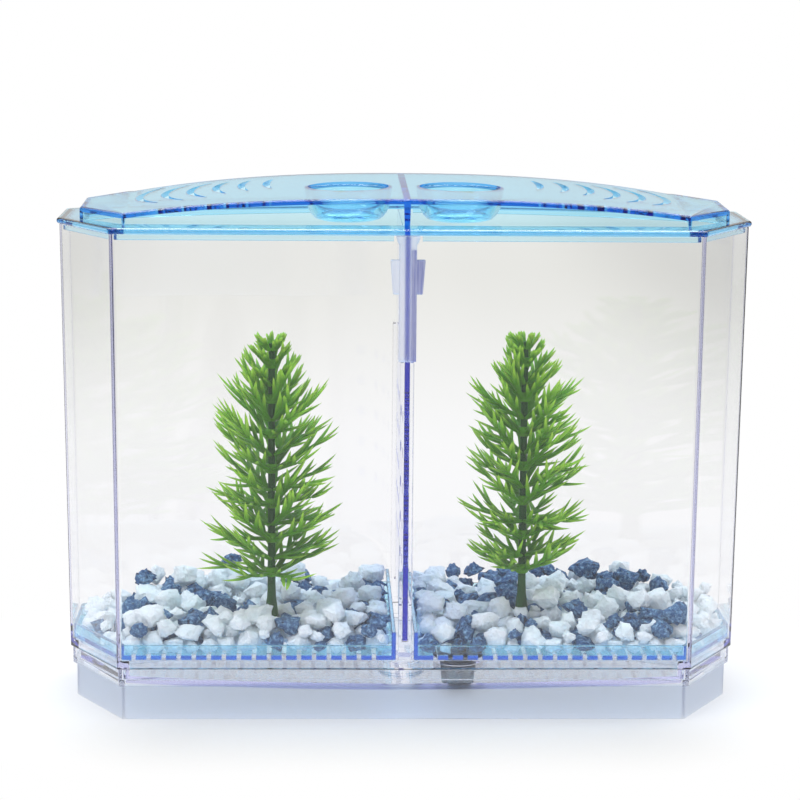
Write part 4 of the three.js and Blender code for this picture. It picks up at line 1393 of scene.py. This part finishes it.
def stage_floor(settings):
    """A wide pale floor that fades to white around the object and keeps the shadow near it."""
    radius, sides = FLOOR_PLATE["radius"], FLOOR_PLATE["sides"]
    angles = [math.tau * i / sides for i in range(sides)]
    ring = [(radius * math.cos(angle), radius * math.sin(angle), 0) for angle in angles]
    floor = solid(ring, [tuple(range(sides))], "floor")
    material = bpy.data.materials.new("floor")
    tree = Tree(material)
    camera, through, mirrored = rays(tree)
    shade = floor_glow(tree, camera, through, mirrored)
    across, back = tree.axes()[:2]
    footprint = ((across * (1 / (HALF * MM))) ** 2 + (back * (2 / (DEPTH * MM))) ** 2) ** 0.5
    open_share = footprint.step(*OPEN_FLOOR["zone"]).between(OPEN_FLOOR["least"], 1)
    glow = tree.add("ShaderNodeEmission", None, {"Color": shade, "Strength": 1.0})
    matt = tree.add("ShaderNodeBsdfDiffuse", None, {"Color": colour(settings.floor)})
    share = camera.larger(through).larger(mirrored) * open_share
    mix = tree.add("ShaderNodeMixShader", None, {0: share, 1: matt.outputs[0], 2: glow.outputs[0]})
    tree.add("ShaderNodeOutputMaterial", None, {"Surface": mix.outputs[0]})
    floor.data.materials.append(material)
    return floor


def stage_world(scene):
    """White to the camera, and a soft studio that is darker in front for everything else."""
    world = bpy.data.worlds.new("studio")
    scene.world = world
    tree = Tree(world)
    camera, through, mirrored = rays(tree)
    across, back, up = tree.axes(tree.output("ShaderNodeTexCoord", "Generated"))
    fill = up.step(*STUDIO["fill_zone"]).between(*STUDIO["fill"])
    seen_through = back.step(*STUDIO["back_zone"]).between(*STUDIO["back"])
    wall_ends = across.size().step(*STUDIO["wall_ends"]) * STUDIO["wall_fade"]
    wall = back.step(*STUDIO["wall_zone"]) * (1 - wall_ends) * STUDIO["wall"]
    brightest = STUDIO["softbox"]
    overhead = up.step(*STUDIO["softbox_zone"]) * (brightest - STUDIO["wall"] - STUDIO["front"])
    reflected = wall + overhead + STUDIO["front"]
    bright = fill + through * (seen_through - fill) + mirrored * (reflected - fill)
    shade = tree.blend(bright * (1 / brightest), colour(BLACK), colour(WHITE))
    soft = tree.add("ShaderNodeBackground", None, {"Color": shade, "Strength": brightest})
    plain = tree.add("ShaderNodeBackground", None, {"Color": colour(WHITE), "Strength": 1.0})
    mix = tree.add("ShaderNodeMixShader", None, {0: camera, 1: soft.outputs[0], 2: plain.outputs[0]})
    tree.add("ShaderNodeOutputWorld", None, {"Surface": mix.outputs[0]})


def stage_lamps(settings):
    """Soft lamps that show only in light and reflections."""
    for name, form in LAMPS.items():
        data = bpy.data.lights.new(name, "AREA")
        data.shape = "RECTANGLE"
        data.energy = settings.lamp * form["share"]
        data.size = form["width"]
        data.size_y = form["depth"]
        lamp = bpy.data.objects.new(name, data)
        bpy.context.scene.collection.objects.link(lamp)
        lamp.location = form["place"]
        lamp.rotation_euler = (Vector(LAMP_AIM) - lamp.location).to_track_quat("-Z", "Y").to_euler()
        lamp.visible_camera = False
        lamp.visible_transmission = False


def stage_camera(scene):
    """Camera fitted to the photograph's view of the tank."""
    yaw, pitch, roll = CAMERA["yaw"], CAMERA["pitch"], CAMERA["roll"]
    ahead = Vector((math.sin(yaw) * math.cos(pitch), math.cos(yaw) * math.cos(pitch), -math.sin(pitch)))
    level = Vector((math.cos(yaw), -math.sin(yaw), 0))
    above = level.cross(ahead)
    right = level * math.cos(roll) + above * math.sin(roll)
    up = above * math.cos(roll) - level * math.sin(roll)
    data = bpy.data.cameras.new("camera")
    data.sensor_width = CAMERA["sensor"]
    data.lens = CAMERA["lens"]
    camera = bpy.data.objects.new("camera", data)
    scene.collection.objects.link(camera)
    turn = Matrix((right, up, -ahead)).transposed()
    camera.matrix_world = Matrix.Translation(CAMERA["place"]) @ turn.to_4x4()
    scene.camera = camera


# Operators
class FISHTANK_OT_stage(bpy.types.Operator):
    """Set the floor, the lamps and the camera"""
    bl_idname = "fishtank.stage"
    bl_label = "Stage"

    def execute(self, context):
        scene = context.scene
        scene.view_settings.view_transform = "Standard"
        for kind, count in BOUNCES.items():
            setattr(scene.cycles, f"{kind}_bounces", count)
        stage_floor(scene.stage)
        stage_world(scene)
        stage_lamps(scene.stage)
        stage_camera(scene)
        return {"FINISHED"}


class FISHTANK_OT_stand(bpy.types.Operator):
    """Build the clear stand ring"""
    bl_idname = "fishtank.stand"
    bl_label = "Stand ring"

    def execute(self, context):
        finished(stand_solid(), "stand_ring", "base", "satin_plastic", ("base_stand",))
        return {"FINISHED"}


class FISHTANK_OT_tank(bpy.types.Operator):
    """Build the clear tank body"""
    bl_idname = "fishtank.tank"
    bl_label = "Tank body"

    def execute(self, context):
        finished(tank_solid(), "tank_shell", "tank", "clear_plastic", ("tank_body",))
        return {"FINISHED"}


class FISHTANK_OT_plug(bpy.types.Operator):
    """Build the rubber drain plug"""
    bl_idname = "fishtank.plug"
    bl_label = "Drain plug"

    def execute(self, context):
        finished(plug_solid(), "rubber_plug", "plug", "matt_rubber", ("drain_plug",))
        return {"FINISHED"}


class FISHTANK_OT_divider(bpy.types.Operator):
    """Build the divider between the chambers"""
    bl_idname = "fishtank.divider"
    bl_label = "Divider"

    def execute(self, context):
        finished(divider_solid(), "divider_panel", "divider", "indigo_plastic", ("divider",))
        finished(stile_solid(), "divider_stile", "divider", "stile_plastic")
        return {"FINISHED"}


class FISHTANK_OT_lid(bpy.types.Operator):
    """Build the vented blue lid"""
    bl_idname = "fishtank.lid"
    bl_label = "Lid"

    def execute(self, context):
        finished(lid_solid(), "blue_lid", "lid", "blue_plastic", ("lid",))
        return {"FINISHED"}


class FISHTANK_OT_trays(bpy.types.Operator):
    """Build the two slotted gravel trays"""
    bl_idname = "fishtank.trays"
    bl_label = "Gravel trays"

    def execute(self, context):
        for name, side in SIDES.items():
            tray = f"tray_{name}"
            finished(tray_solid(side), f"gravel_{tray}", tray, "blue_plastic", (tray,))
        return {"FINISHED"}


class FISHTANK_OT_gravel(bpy.types.Operator):
    """Fill the trays with white and blue-grey stones"""
    bl_idname = "fishtank.gravel"
    bl_label = "Gravel"

    def execute(self, context):
        for name, side in SIDES.items():
            gravel_bed(name, side)
        return {"FINISHED"}


class FISHTANK_OT_plants(bpy.types.Operator):
    """Plant a stem with leaf tiers in each chamber"""
    bl_idname = "fishtank.plants"
    bl_label = "Plants"

    def execute(self, context):
        for name in SIDES:
            plant = f"plant_{name}"
            stem = (f"{plant}_stem",)
            finished(stem_piece(name), f"stem_{name}", plant, "green_stem", stem)
            tiers = sum(node.startswith(f"{plant}_tier_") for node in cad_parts)
            for number in range(tiers):
                finished(leaf_tier(name, number, tiers), f"leaves_{name}_{number + 1}", plant,
                         "green_leaf", (f"{plant}_tier_{number + 1}",), angle=60)
        return {"FINISHED"}


class FISHTANK_PT_panel(bpy.types.Panel):
    """Buttons and settings of the fish tank"""
    bl_idname = "FISHTANK_PT_panel"
    bl_label = "Fish tank"
    bl_space_type = "VIEW_3D"
    bl_region_type = "UI"
    bl_category = "Fish tank"

    def draw(self, context):
        for group in SETTINGS:
            settings = getattr(context.scene, group)
            for name in settings.__annotations__:
                self.layout.prop(settings, name)
        for operator in OPERATORS:
            self.layout.operator(operator.bl_idname)


SETTINGS = {
    "tank": TankSettings, "lid": LidSettings, "gravel": GravelSettings, "plants": PlantSettings,
    "stage": StageSettings,
}
OPERATORS = (
    FISHTANK_OT_stage, FISHTANK_OT_stand, FISHTANK_OT_tank, FISHTANK_OT_plug, FISHTANK_OT_divider,
    FISHTANK_OT_lid, FISHTANK_OT_trays, FISHTANK_OT_gravel, FISHTANK_OT_plants,
)


def register():
    for group in SETTINGS.values():
        bpy.utils.register_class(group)
    for cls in (*OPERATORS, FISHTANK_PT_panel):
        bpy.utils.register_class(cls)
    for name, group in SETTINGS.items():
        setattr(bpy.types.Scene, name, bpy.props.PointerProperty(type=group))


def unregister():
    for name in SETTINGS:
        delattr(bpy.types.Scene, name)
    for cls in (FISHTANK_PT_panel, *reversed(OPERATORS)):
        bpy.utils.unregister_class(cls)
    for group in SETTINGS.values():
        bpy.utils.unregister_class(group)


def main():
    register()
    bpy.ops.fishtank.stage()
    bpy.ops.fishtank.stand()
    bpy.ops.fishtank.tank()
    bpy.ops.fishtank.plug()
    bpy.ops.fishtank.divider()
    bpy.ops.fishtank.lid()
    bpy.ops.fishtank.trays()
    bpy.ops.fishtank.gravel()
    bpy.ops.fishtank.plants()


if __name__ == "__main__":
    main()
